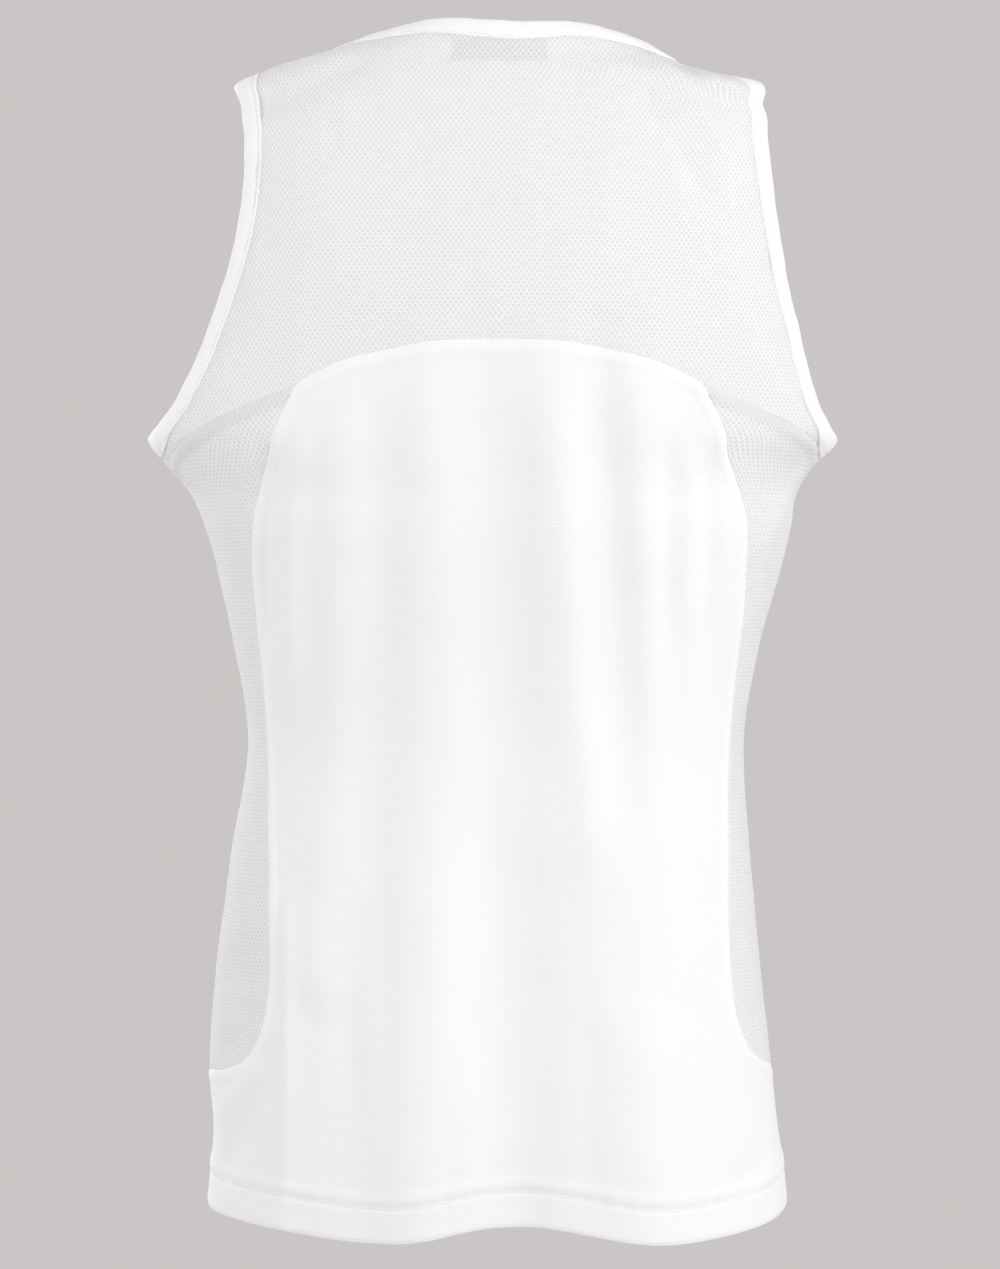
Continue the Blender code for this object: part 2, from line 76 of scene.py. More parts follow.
def makeCamera():
    bpy.ops.object.camera_add(location=camera["place"], rotation=(math.pi / 2, 0.0, math.pi))
    made = bpy.context.object
    made.name = "backCamera"
    made.data.sensor_fit = "AUTO"
    made.data.sensor_width = camera["sensor"]
    made.data.lens = camera["lens"]
    bpy.context.scene.camera = made


def makeStudio():
    world = bpy.data.worlds.new("paleRoom")
    world.use_nodes = True
    world.node_tree.nodes["Background"].inputs["Color"].default_value = studio["backdrop"]
    bpy.context.scene.world = world
    bpy.context.scene.view_settings.view_transform = "Standard"
    for row in lamps:
        lamp = dict(zip(lampColumns, row))
        bpy.ops.object.light_add(type="AREA", location=lamp["place"])
        made = bpy.context.object
        made.name = lamp["name"]
        made.data.shape = "DISK"
        made.data.size = lamp["size"]
        made.data.energy = lamp["power"]
        made.data.color = studio["lampColour"]
        aim = Vector(studio["aim"]) - Vector(lamp["place"])
        made.rotation_euler = aim.to_track_quat("-Z", "Y").to_euler()
    deselect()
    bpy.ops.mesh.primitive_circle_add(
        vertices=128, radius=studio["floorRadius"], fill_type="NGON", location=(0, 0, studio["floorHeight"])
    )
    floor = bpy.context.object
    floor.name = "paleFloor"
    bpy.ops.object.transform_apply(location=True, rotation=True, scale=True)
    finish = bpy.data.materials.new("paleFloorPaint")
    finish.use_nodes = True
    shader = finish.node_tree.nodes["Principled BSDF"]
    shader.inputs["Base Color"].default_value = (0.62, 0.6, 0.59, 1.0)
    shader.inputs["Roughness"].default_value = studio["floorRoughness"]
    floor.data.materials.append(finish)


makeCamera()
makeStudio()
print("camera, lamps and floor made")


# The worn form that every piece lies on: half widths and depths of its sections.
sectionColumns = ("height", "left", "right", "back", "front", "squareness")
sections = (
    (-0.7, 0.177, 0.175, 0.121, 0.12, 2.3),
    (-0.665, 0.173, 0.171, 0.119, 0.12, 2.3),
    (-0.637, 0.171, 0.167, 0.118, 0.119, 2.3),
    (-0.6, 0.173, 0.163, 0.115, 0.118, 2.3),
    (-0.541, 0.169, 0.157, 0.109, 0.116, 2.3),
    (-0.47, 0.16, 0.15, 0.103, 0.113, 2.3),
    (-0.4, 0.1498, 0.147, 0.101, 0.112, 2.3),
    (-0.35, 0.158, 0.155, 0.105, 0.114, 2.3),
    (-0.313, 0.166, 0.165, 0.11, 0.117, 2.3),
    (-0.277, 0.1755, 0.1745, 0.115, 0.12, 2.3),
    (-0.253, 0.186, 0.179, 0.117, 0.122, 2.2),
    (-0.241, 0.196, 0.186, 0.118, 0.122, 2.2),
    (-0.2235, 0.2095, 0.202, 0.119, 0.123, 2.2),
    (-0.205, 0.2075, 0.2015, 0.12, 0.123, 2.2),
    (-0.17, 0.195, 0.193, 0.119, 0.122, 2.2),
    (-0.138, 0.186, 0.187, 0.117, 0.12, 2.2),
    (-0.09, 0.18, 0.182, 0.109, 0.114, 2.2),
    (-0.05, 0.176, 0.179, 0.099, 0.102, 2.2),
    (-0.03, 0.17, 0.174, 0.093, 0.092, 2.2),
    (-0.012, 0.157, 0.1575, 0.086, 0.08, 2.2),
    (-0.0085, 0.15, 0.141, 0.0845, 0.0765, 2.2),
    (-0.003, 0.1375, 0.119, 0.082, 0.072, 2.2),
    (0.005, 0.1085, 0.1005, 0.079, 0.064, 2.2),
    (0.013, 0.0865, 0.088, 0.075, 0.056, 2.2),
    (0.022, 0.066, 0.07, 0.07, 0.046, 2.2),
)

# The largest folds of the back, as in the frame: places across at three heights.
foldColumns = ("upper", "middle", "lower", "start", "end", "width", "rise")
folds = (
    (0.04, 0.04, 0.056, -0.19, -0.8, 0.026, 0.006),
    (0.007, -0.003, -0.014, -0.19, -0.8, 0.03, -0.0065),
    (-0.03, -0.042, -0.056, -0.18, -0.47, 0.018, 0.004),
    (-0.056, -0.066, -0.07, -0.18, -0.45, 0.014, -0.0045),
    (-0.08, -0.088, -0.095, -0.18, -0.47, 0.015, 0.0035),
    (-0.088, -0.09, -0.095, -0.45, -0.8, 0.034, 0.0075),
    (0.065, 0.074, 0.096, -0.19, -0.66, 0.016, -0.0045),
    (0.098, 0.097, 0.116, -0.21, -0.68, 0.017, 0.004),
)
foldFade = 0.055

armholeColumns = ("height", "backLeft", "backRight", "front")
armhole = (
    (-0.223, None, None, None),
    (-0.217, 0.202, 0.1957, 0.196),
    (-0.203, 0.1902, 0.1875, 0.186),
    (-0.1865, 0.181, 0.1825, 0.1765),
    (-0.17, 0.1738, 0.1785, 0.168),
    (-0.138, 0.1622, 0.1705, 0.156),
    (-0.106, 0.1535, 0.165, 0.149),
    (-0.076, 0.1496, 0.161, 0.146),
    (-0.045, 0.1494, 0.1576, 0.146),
    (-0.03, 0.1522, 0.1567, 0.1475),
    (-0.02, 0.1548, 0.1573, 0.15),
    (-0.0125, None, None, None),
)
cut = {
    "neckShoulders": (0.0102, 0.0078), "nape": 0.0178,
    "backNeckLeft": ((0.074, 0.0143), (0.057, 0.0172), (0.042, 0.0198), (0.027, 0.0197), (0.0, 0.0178)),
    "backNeckRight": ((0.016, 0.017), (0.03, 0.0179), (0.045, 0.0184), (0.059, 0.0165), (0.074, 0.0138)),
    "frontNeck": ((0.0915, -0.004), (0.084, -0.022), (0.071, -0.046), (0.048, -0.069), (0.0, -0.08)),
    "yokeEnd": -0.242,
    "yokeSide": ((0.189, -0.231), (0.168, -0.2165), (0.139, -0.204)),
    "panelCorner": (0.117, -0.196),
    "yokeArch": ((0.102, -0.188), (0.086, -0.182), (0.066, -0.1775), (0.043, -0.1732), (0.0, -0.1713)),
    "panelSeam": (
        (0.131, -0.227), (0.1395, -0.251), (0.144, -0.282), (0.145, -0.31),
        (0.141, -0.35), (0.1372, -0.39), (0.135, -0.472), (0.1348, -0.508),
    ),
    "panelFoot": ((0.1367, -0.545), (0.141, -0.568), (0.149, -0.585), (0.16, -0.5935)),
    "panelToe": -0.599, "toeStep": 0.0015,
    "hemSides": (-0.679, -0.677),
    "hemEdge": ((0.142, -0.683), (0.058, -0.6875), (-0.009, -0.679), (-0.095, -0.6895), (-0.145, -0.6865)),
    "hemHeight": 0.0195, "bindingWidth": 0.0105, "tapeCover": 0.0024, "underBinding": 0.0028,
}
counts = {
    "side": 4, "back": 24, "shoulder": 4, "frontNeck": 18, "armhole": 14,
    "panel": 10, "foot": 5, "hip": 5, "tongue": 2, "evening": 400,
}
counts["backNeck"] = counts["back"] + 2 * (counts["side"] - counts["tongue"] - counts["shoulder"])
left, right, back, front = 1, -1, 1, -1


def column(table, names, name):
    place = names.index(name)
    return np.array([row[place] for row in table], dtype=float)


def smooth(places, values, at):
    slopes = np.gradient(values, places, axis=0)
    first = np.clip(np.searchsorted(places, at) - 1, 0, len(places) - 2)
    span = places[first + 1] - places[first]
    part = np.clip((at - places[first]) / span, 0.0, 1.0)
    extra = (1,) * (values.ndim - 1)
    span, part = span.reshape(span.shape + extra), part.reshape(part.shape + extra)
    square = part * part
    cube = square * part
    start = (2 * cube - 3 * square + 1) * values[first] + (cube - 2 * square + part) * span * slopes[first]
    end = (3 * square - 2 * cube) * values[first + 1] + (cube - square) * span * slopes[first + 1]
    return start + end


sectionValues = {name: column(sections, sectionColumns, name) for name in sectionColumns}


def section(name, height):
    return smooth(sectionValues["height"], sectionValues[name], np.asarray(height, dtype=float))


def foldRise(across, height):
    rise = 0.0
    for row in folds:
        fold = dict(zip(foldColumns, row))
        down = np.clip((fold["start"] - height) / (fold["start"] - fold["end"]), 0.0, 1.0)
        upper = (1 - down) ** 2 * fold["upper"]
        middle = 2 * down * (1 - down) * (2 * fold["middle"] - (fold["upper"] + fold["lower"]) / 2)
        crest = upper + middle + down ** 2 * fold["lower"]
        grow = 0.5 + 0.5 * np.tanh((fold["start"] - height) / foldFade * 2)
        fade = 0.5 + 0.5 * np.tanh((height - fold["end"]) / foldFade * 2)
        rise = rise + fold["rise"] * grow * fade * np.exp(-((across - crest) / fold["width"]) ** 2)
    return rise


def form(angle, height):
    angle, height = np.broadcast_arrays(np.asarray(angle, float), np.asarray(height, float))
    cosine, sine = np.cos(angle), np.sin(angle)
    power = 2 / section("squareness", height)
    half = np.where(cosine > 0, section("left", height), section("right", height))
    depth = np.where(sine > 0, section("back", height), section("front", height))
    across = half * np.sign(cosine) * np.abs(cosine) ** power
    out = depth * np.sign(sine) * np.abs(sine) ** power
    out = out + np.where(sine > 0, foldRise(across, height) * sine ** 2, 0.0)
    return np.stack([across, out, height + 0 * out], axis=-1)


def formSlopes(angle, height):
    step = 0.0005
    along = (form(angle + step, height) - form(angle - step, height)) / (2 * step)
    up = (form(angle, height + step) - form(angle, height - step)) / (2 * step)
    return along, up


def formNormal(angle, height):
    normal = np.cross(*formSlopes(angle, height))
    return normal / np.linalg.norm(normal, axis=-1, keepdims=True)


def angleAt(across, height, face):
    half = section("left" if across > 0 else "right", height)
    ratio = min(abs(across) / half, 1.0)
    turn = math.acos(ratio ** (section("squareness", height) / 2))
    return face * (turn if across > 0 else math.pi - turn)


def sideAngle(side, face):
    return 0.0 if side == left else face * math.pi


def onForm(points, face):
    return [(angleAt(across, height, face), height) for across, height in points]


def onSide(points, side):
    return onForm([(side * across, height) for across, height in points], back)


def spread(points, count):
    points = np.array(points, dtype=float)
    solid = form(points[:, 0], points[:, 1])
    length = np.concatenate(([0.0], np.cumsum(np.linalg.norm(np.diff(solid, axis=0), axis=1))))
    at = np.linspace(0.0, length[-1], count + 1)
    return [tuple(place) for place in smooth(length, points, at)]


def walk(angle, height, direction, distance):
    steps = 20
    for _ in range(steps):
        slope = np.linalg.norm(formSlopes(angle, height)[1])
        height = height + direction * distance / steps / slope
    return float(height)


def shifted(angle, height, move):
    along, up = formSlopes(angle, height)
    turn = np.linalg.lstsq(np.stack([along, up], axis=1), move, rcond=None)[0]
    return angle + turn[0], height + turn[1]


def movedIn(edge, width, endDirections):
    inner = []
    last = len(edge) - 1
    centre = (form(*edge[0]) + form(*edge[-1])) / 2
    for place, (angle, height) in enumerate(edge):
        if place in (0, last):
            direction = endDirections[0 if place == 0 else 1]
            inner.append((angle, walk(angle, height, direction, width)))
            continue
        tangent = form(*edge[place + 1]) - form(*edge[place - 1])
        across = np.cross(formNormal(angle, height), tangent / np.linalg.norm(tangent))
        if across @ (form(angle, height) - centre) < 0:
            across = -across
        inner.append(shifted(angle, height, across * width))
    return inner


def armholeEdge(side, face):
    name = "front" if face == front else ("backLeft" if side == left else "backRight")
    heights = column(armhole, armholeColumns, "height")
    across = column(armhole, armholeColumns, name)
    inside = onForm([(side * place, height) for place, height in zip(across[1:-1], heights[1:-1])], face)
    ends = sideAngle(side, face)
    return spread([(ends, heights[0])] + inside + [(ends, heights[-1])], counts["armhole"])


def neckEdge(face):
    shoulders = cut["neckShoulders"]
    if face == back:
        places = onSide(cut["backNeckLeft"], left) + onSide(cut["backNeckRight"], right)
        return spread([(0.0, shoulders[0])] + places + [(math.pi, shoulders[1])], counts["backNeck"])
    leftHalf = onForm(cut["frontNeck"], face)
    rightHalf = onForm([(-across, height) for across, height in cut["frontNeck"][-2::-1]], face)
    return spread([(0.0, shoulders[0])] + leftHalf + rightHalf + [(-math.pi, shoulders[1])], counts["frontNeck"])


def yokeSeam(side):
    end = [(sideAngle(side, back), cut["yokeEnd"])]
    return spread(end + onSide(cut["yokeSide"] + (cut["panelCorner"],), side), counts["side"])


def yokeArch():
    half = (cut["panelCorner"],) + cut["yokeArch"]
    return spread(onSide(half, left) + onSide(half[-2::-1], right), counts["back"])


def panelSeam(side):
    upper = onSide((cut["panelCorner"],) + cut["panelSeam"], side)
    foot = onSide(cut["panelFoot"], side)
    toe = [(sideAngle(side, back), cut["panelToe"])]
    return spread(upper + foot[:1], counts["panel"]) + spread(foot + toe, counts["foot"])[1:]


def sideSeam(side, face):
    angle = sideAngle(side, face)
    top = walk(angle, armhole[0][0], -1, cut["bindingWidth"] - cut["underBinding"])
    bottom = cut["hemSides"][0 if side == left else 1]
    foot = cut["panelFoot"][0][1]
    stitch = bottom + cut["hemHeight"]
    heights = [top] + list(np.linspace(cut["yokeEnd"], foot, counts["panel"] + 1))
    heights += list(np.linspace(foot, cut["panelToe"], counts["foot"] + 1))[1:]
    heights += list(np.linspace(cut["panelToe"], stitch, counts["hip"] + 1))[1:]
    return [(angle, height) for height in heights + [bottom]]


def hemEdge(face, count):
    ends = [(sideAngle(left, face), cut["hemSides"][0]), (sideAngle(right, face), cut["hemSides"][1])]
    if face == back:
        return spread([ends[0]] + onForm(cut["hemEdge"], back) + [ends[1]], count)
    angles = np.linspace(0.0, -math.pi, 9)
    heights = cut["hemSides"][0] + (cut["hemSides"][1] - cut["hemSides"][0]) * -angles / math.pi
    return spread(list(zip(angles, heights)), count)


def raised(edge, height):
    return [(angle, low + height) for angle, low in edge]


def sideLengths():
    heights = np.linspace(sections[0][0], sections[-1][0], 300)
    steps = np.hypot(np.diff(heights), np.diff(section("left", heights)))
    return heights, np.concatenate(([0.0], np.cumsum(steps)))


def meanRadius(height):
    half = (section("left", height) + section("right", height)) / 2
    return np.sqrt((half ** 2 + section("back", height) ** 2) / 2)


def evened(grid):
    centre = math.copysign(math.pi / 2, grid[..., 0].mean())
    heights, lengths = sideLengths()
    flat = np.stack(
        [(grid[..., 0] - centre) * meanRadius(grid[..., 1]), np.interp(grid[..., 1], heights, lengths)], axis=-1
    )
    for _ in range(counts["evening"]):
        over = (flat[1:-1, 2:] - flat[1:-1, :-2]) / 2
        up = (flat[2:, 1:-1] - flat[:-2, 1:-1]) / 2
        overWeight = np.sum(up * up, axis=2)[..., None]
        upWeight = np.sum(over * over, axis=2)[..., None]
        skew = np.sum(over * up, axis=2)[..., None]
        beside = flat[1:-1, 2:] + flat[1:-1, :-2]
        above = flat[2:, 1:-1] + flat[:-2, 1:-1]
        corners = flat[2:, 2:] - flat[2:, :-2] - flat[:-2, 2:] + flat[:-2, :-2]
        total = 2 * (overWeight + upWeight) + 1e-12
        flat[1:-1, 1:-1] = (overWeight * beside + upWeight * above - skew * corners / 2) / total
    height = np.interp(flat[..., 1], lengths, heights)
    return np.stack([flat[..., 0] / meanRadius(height) + centre, height], axis=-1)


def patch(low, high, start, end):
    low, high, start, end = (np.array(edge, dtype=float) for edge in (low, high, start, end))
    rows = []
    for up in range(len(start)):
        rise = up / (len(start) - 1)
        over = np.linspace(0.0, 1.0, len(low))[:, None]
        between = (1 - rise) * low + rise * high
        sides = (1 - over) * start[up] + over * end[up]
        cornerLow = (1 - over) * low[0] + over * low[-1]
        cornerHigh = (1 - over) * high[0] + over * high[-1]
        rows.append(between + sides - (1 - rise) * cornerLow - rise * cornerHigh)
    return evened(np.array(rows))


def clothPlaces(grid):
    # the grid's places with two more columns: metres across and up the flat cloth
    centre = math.copysign(math.pi / 2, grid[..., 0].mean())
    parts = np.linspace(0.0, 1.0, 41)
    angles = centre + (grid[..., 0, None] - centre) * parts
    line = form(angles, grid[..., 1, None] + 0 * angles)
    across = np.linalg.norm(np.diff(line, axis=2), axis=-1).sum(axis=2) * np.sign(grid[..., 0] - centre)
    heights = np.linspace(-0.72, 0.03, 400)
    middle = form(centre + 0 * heights, heights)
    lengths = np.concatenate(([0.0], np.cumsum(np.linalg.norm(np.diff(middle, axis=0), axis=1))))
    up = np.interp(grid[..., 1], heights, lengths)
    return np.concatenate([grid, across[..., None], up[..., None]], axis=-1)


def finerSteps(cells, times, edgeTimes):
    steps = [0.0]
    for cell in range(cells):
        count = edgeTimes if cell in (0, cells - 1) else times
        steps += [cell + (part + 1) / count for part in range(count)]
    return np.round(np.array(steps), 9)


def refinedAlong(values, steps, breaks=()):
    ends = [0, *breaks, len(values) - 1]
    parts = []
    for start, end in zip(ends, ends[1:]):
        at = steps[(steps >= start) & (steps <= end)]
        if parts:
            at = at[1:]
        parts.append(smooth(np.arange(start, end + 1, dtype=float), values[start:end + 1], at))
    return np.concatenate(parts)


def refined(grid, rowSteps, columnSteps, rowBreaks=(), columnBreaks=()):
    grid = clothPlaces(np.array(grid))
    grid = refinedAlong(grid, rowSteps, rowBreaks)
    return refinedAlong(grid.swapaxes(0, 1), columnSteps, columnBreaks).swapaxes(0, 1)


# Small folds and pulls of each face: three places (across, height), half width and rise.
creaseColumns = ("face", "start", "middle", "end", "width", "rise")
backCreases = (
    ((-0.0968, -0.215), (-0.097, -0.29), (-0.0975, -0.37), 0.0075, -0.0016),
    ((-0.109, -0.225), (-0.11, -0.29), (-0.109, -0.39), 0.007, 0.0018),
    ((-0.12, -0.225), (-0.121, -0.29), (-0.121, -0.38), 0.0065, -0.0016),
    ((-0.129, -0.24), (-0.132, -0.3), (-0.132, -0.38), 0.0065, 0.0014),
    ((0.13, -0.225), (0.137, -0.29), (0.137, -0.4), 0.008, -0.0034),
    ((0.11, -0.215), (0.119, -0.29), (0.118, -0.41), 0.0085, 0.003),
    ((0.076, -0.47), (0.0745, -0.54), (0.074, -0.625), 0.01, 0.0016),
    ((0.02, -0.56), (0.018, -0.62), (0.012, -0.7), 0.011, 0.0014),
    ((0.043, -0.44), (0.049, -0.58), (0.057, -0.76), 0.02, 0.0034),
    ((-0.008, -0.44), (-0.012, -0.58), (-0.017, -0.76), 0.022, -0.003),
    ((0.106, -0.54), (0.112, -0.62), (0.118, -0.76), 0.017, -0.0034),
    ((0.122, -0.48), (0.124, -0.58), (0.125, -0.72), 0.006, 0.0018),
    ((-0.085, -0.54), (-0.088, -0.65), (-0.092, -0.78), 0.026, 0.003),
    ((0.145, -0.5), (0.15, -0.62), (0.156, -0.78), 0.03, -0.0045),
    ((0.086, -0.19), (0.088, -0.29), (0.09, -0.42), 0.014, 0.002),
    ((-0.021, -0.185), (-0.025, -0.29), (-0.033, -0.45), 0.011, 0.0013),
    ((-0.047, -0.185), (-0.052, -0.29), (-0.06, -0.45), 0.011, -0.0013),
    ((0.1, 0.02), (0.102, -0.08), (0.098, -0.2), 0.028, 0.0024),
    ((-0.052, -0.55), (-0.05, -0.62), (-0.048, -0.7), 0.011, -0.0016),
    ((-0.078, 0.004), (-0.108, -0.022), (-0.14, -0.08), 0.007, 0.0026),
    ((-0.088, 0.004), (-0.118, -0.012), (-0.15, -0.052), 0.006, -0.0022),
    ((-0.064, -0.006), (-0.096, -0.044), (-0.134, -0.112), 0.008, -0.0024),
    ((0.068, 0.000), (0.112, -0.02), (0.158, -0.034), 0.012, -0.0032),
    ((0.164, -0.59), (0.154, -0.57), (0.144, -0.545), 0.006, -0.0016),
    ((0.171, -0.668), (0.152, -0.628), (0.127, -0.57), 0.011, -0.0024),
    ((0.17, -0.632), (0.154, -0.606), (0.138, -0.585), 0.008, 0.0018),
    ((-0.158, -0.64), (-0.148, -0.652), (-0.132, -0.66), 0.008, -0.0013),
    ((0.196, -0.236), (0.17, -0.262), (0.153, -0.31), 0.01, 0.0018),
    ((-0.19, -0.236), (-0.168, -0.262), (-0.152, -0.31), 0.01, 0.0018),
)
frontCreases = (
    ((0.188, -0.228), (0.132, -0.18), (0.07, -0.165), 0.016, -0.0026),
    ((-0.182, -0.228), (-0.13, -0.184), (-0.072, -0.168), 0.016, -0.0024),
    ((0.18, -0.246), (0.13, -0.225), (0.085, -0.24), 0.015, 0.0024),
    ((-0.176, -0.246), (-0.128, -0.228), (-0.084, -0.246), 0.015, 0.0022),
    ((0.056, -0.235), (0.064, -0.42), (0.082, -0.7), 0.024, 0.0052),
    ((0.005, -0.24), (0.012, -0.44), (0.024, -0.7), 0.026, -0.005),
    ((-0.042, -0.225), (-0.05, -0.43), (-0.056, -0.7), 0.023, 0.0054),
    ((-0.082, -0.25), (-0.088, -0.43), (-0.1, -0.68), 0.017, -0.0036),
    ((0.096, -0.25), (0.104, -0.42), (0.12, -0.68), 0.016, -0.0034),
    ((-0.118, -0.3), (-0.12, -0.46), (-0.13, -0.64), 0.014, 0.0026),
    ((0.126, -0.33), (0.132, -0.47), (0.144, -0.64), 0.013, 0.0024),
    ((0.112, 0.000), (0.104, -0.05), (0.082, -0.11), 0.01, 0.0016),
    ((-0.112, 0.000), (-0.104, -0.05), (-0.082, -0.11), 0.01, 0.0015),
    ((-0.086, -0.59), (-0.076, -0.64), (-0.072, -0.7), 0.011, -0.002),
    ((0.042, -0.57), (0.048, -0.63), (0.05, -0.7), 0.011, -0.0022),
)
creases = [(back, *row) for row in backCreases] + [(front, *row) for row in frontCreases]


def ease(low, high, value):
    part = np.clip((value - low) / (high - low), 0.0, 1.0)
    return part * part * (3 - 2 * part)


def nearest(line, points):
    # distance of each point to a line of points, and how far along the line that is
    best = np.full(len(points), 1e9)
    share = np.zeros(len(points))
    for place, (start, end) in enumerate(zip(line, line[1:])):
        step = end - start
        part = np.clip((points - start) @ step / max(step @ step, 1e-12), 0.0, 1.0)
        away = np.linalg.norm(points - start - part[:, None] * step, axis=1)
        closer = away < best
        best[closer] = away[closer]
        share[closer] = (place + part[closer]) / (len(line) - 1)
    return best, share


def creaseLine(crease):
    parts = np.linspace(0.0, 1.0, 25)[:, None]
    start, middle, end = (np.array(crease[name]) for name in ("start", "middle", "end"))
    bend = 2 * middle - (start + end) / 2
    places = (1 - parts) ** 2 * start + 2 * parts * (1 - parts) * bend + parts ** 2 * end
    turned = np.array(onForm([tuple(place) for place in places], crease["face"]))
    return form(turned[:, 0], turned[:, 1])


creaseLines = [(dict(zip(creaseColumns, row)), creaseLine(dict(zip(creaseColumns, row)))) for row in creases]


def creaseLift(points):
    lift = np.zeros(len(points))
    for crease, line in creaseLines:
        reach = 3 * crease["width"]
        near = np.all((points > line.min(axis=0) - reach) & (points < line.max(axis=0) + reach), axis=1)
        if near.any():
            away, share = nearest(line, points[near])
            taper = ease(0.0, 0.22, share) * ease(0.0, 0.3, 1 - share)
            lift[near] += crease["rise"] * taper * np.exp(-((away / crease["width"]) ** 2))
    return lift


def rippleLift(points):
    # slight unevenness of hanging cloth, from a few long waves
    x, y, z = points.T
    waves = 0.00035 * np.sin(61 * x + 23 * z + 1.3) * np.sin(17 * z - 31 * x + 8 * y)
    waves += 0.00022 * np.sin(118 * x - 37 * z + 0.4) * np.sin(52 * z + 29 * x)
    waves += 0.00015 * np.sin(203 * x + 61 * z + 2.1) * np.sin(88 * z - 71 * x + 0.7)
    return waves


def lineOf(edge, times=6):
    edge = np.array(edge, dtype=float)
    fine = refinedAlong(edge, finerSteps(len(edge) - 1, times, times))
    return form(fine[:, 0], fine[:, 1])


tapeWidth = cut["bindingWidth"] + cut["tapeCover"]
seamLines = {"yokeArch": lineOf(yokeArch())}
for side, name, turn in ((left, "Left", 0.0), (right, "Right", math.pi)):
    seamLines["yoke" + name] = lineOf(yokeSeam(side))
    seamLines["panel" + name] = lineOf(panelSeam(side))
    seamLines["side" + name] = lineOf([(turn, height) for _, height in sideSeam(side, back)])
for face, name in ((back, "Back"), (front, "Front")):
    seamLines["hem" + name] = lineOf(hemEdge(face, 40))
    seamLines["neck" + name] = lineOf(movedIn(neckEdge(face), tapeWidth, (-1, -1)))
    for side, sideName in ((left, "Left"), (right, "Right")):
        seamLines["arm" + sideName + name] = lineOf(movedIn(armholeEdge(side, face), tapeWidth, (-1, 1)))
# How cloth lies beside a seam: a crease in the seam, and where the turned edge
# lies under the cloth, a low rise from one distance to another.
reliefColumns = ("seam", "dip", "dipWidth", "rise", "riseFrom", "riseTo")
reliefs = {
    "yoke": (
        ("yokeArch", -0.0005, 0.0011),
        ("yokeLeft", -0.0005, 0.0011),
        ("yokeRight", -0.0005, 0.0011),
        ("neckBack", -0.0006, 0.001),
        ("armLeftBack", -0.0006, 0.001),
        ("armRightBack", -0.0006, 0.001),
    ),
    "body": (
        ("yokeArch", -0.0003, 0.001, 0.0005, 0.0008, 0.0066),
        ("panelLeft", -0.0003, 0.001, 0.0006, 0.0008, 0.006),
        ("panelRight", -0.0003, 0.001, 0.0006, 0.0008, 0.006),
        ("sideLeft", -0.0006, 0.0012),
        ("sideRight", -0.0006, 0.0012),
        ("hemBack", -0.001, 0.0011),
    ),
    "panel": (
        ("yokeLeft", -0.0003, 0.001, 0.0008, 0.0008, 0.0066),
        ("yokeRight", -0.0003, 0.001, 0.0008, 0.0008, 0.0066),
        ("panelLeft", -0.0006, 0.0011),
        ("panelRight", -0.0006, 0.0011),
        ("sideLeft", -0.0005, 0.0012),
        ("sideRight", -0.0005, 0.0012),
    ),
    "front": (
        ("sideLeft", -0.0004, 0.0012, 0.0006, 0.001, 0.007),
        ("sideRight", -0.0004, 0.0012, 0.0006, 0.001, 0.007),
        ("hemFront", -0.001, 0.0011),
        ("neckFront", -0.0006, 0.001),
        ("armLeftFront", -0.0006, 0.001),
        ("armRightFront", -0.0006, 0.001),
    ),
}
hemLook = {"groove": -0.00072, "grooveWidth": 0.001, "ridge": 0.0009, "ridgeAt": 0.0054, "ridgeWidth": 0.003,
           "pucker": 0.00035, "puckerLength": 0.011, "puckerReach": 0.006}


def seamLift(points, name, across):
    # the lift, the distance to the nearest seam and to the nearest turned-in edge
    lift = np.zeros(len(points))
    beside = np.ones((len(points), 2))
    for row in reliefs[name]:
        relief = dict(zip(reliefColumns, row))
        away, _ = nearest(seamLines[relief["seam"]], points)
        lift += relief["dip"] * np.exp(-((away / relief["dipWidth"]) ** 2))
        if "rise" in relief:
            rising = ease(relief["riseFrom"] - 0.0008, relief["riseFrom"] + 0.001, away)
            falling = 1 - ease(relief["riseTo"] - 0.0012, relief["riseTo"] + 0.0022, away)
            lift += relief["rise"] * rising * falling
        if relief["seam"].startswith(("yoke", "panel", "side")):
            beside[:, 0] = np.minimum(beside[:, 0], away)
            if "rise" in relief:
                beside[:, 1] = np.minimum(beside[:, 1], away)
        if relief["seam"].startswith("hem"):
            above = away - cut["hemHeight"]
            lift += hemLook["groove"] * np.exp(-((above / hemLook["grooveWidth"]) ** 2))
            lift += hemLook["ridge"] * np.exp(-(((above - hemLook["ridgeAt"]) / hemLook["ridgeWidth"]) ** 2))
            wave = np.sin(across * 2 * math.pi / hemLook["puckerLength"] + 2.2 * np.sin(across * 37))
            lift += hemLook["pucker"] * wave * np.exp(-((above / hemLook["puckerReach"]) ** 2))
    return lift, beside


def clothPoints(fine, name):
    angle, height = fine[..., 0], fine[..., 1]
    points = form(angle, height)
    normal = formNormal(angle, height)
    flat = points.reshape(-1, 3)
    seams, beside = seamLift(flat, name, fine[..., 2].ravel())
    lift = creaseLift(flat) + rippleLift(flat) + seams
    return points + normal * lift.reshape(angle.shape)[..., None], beside


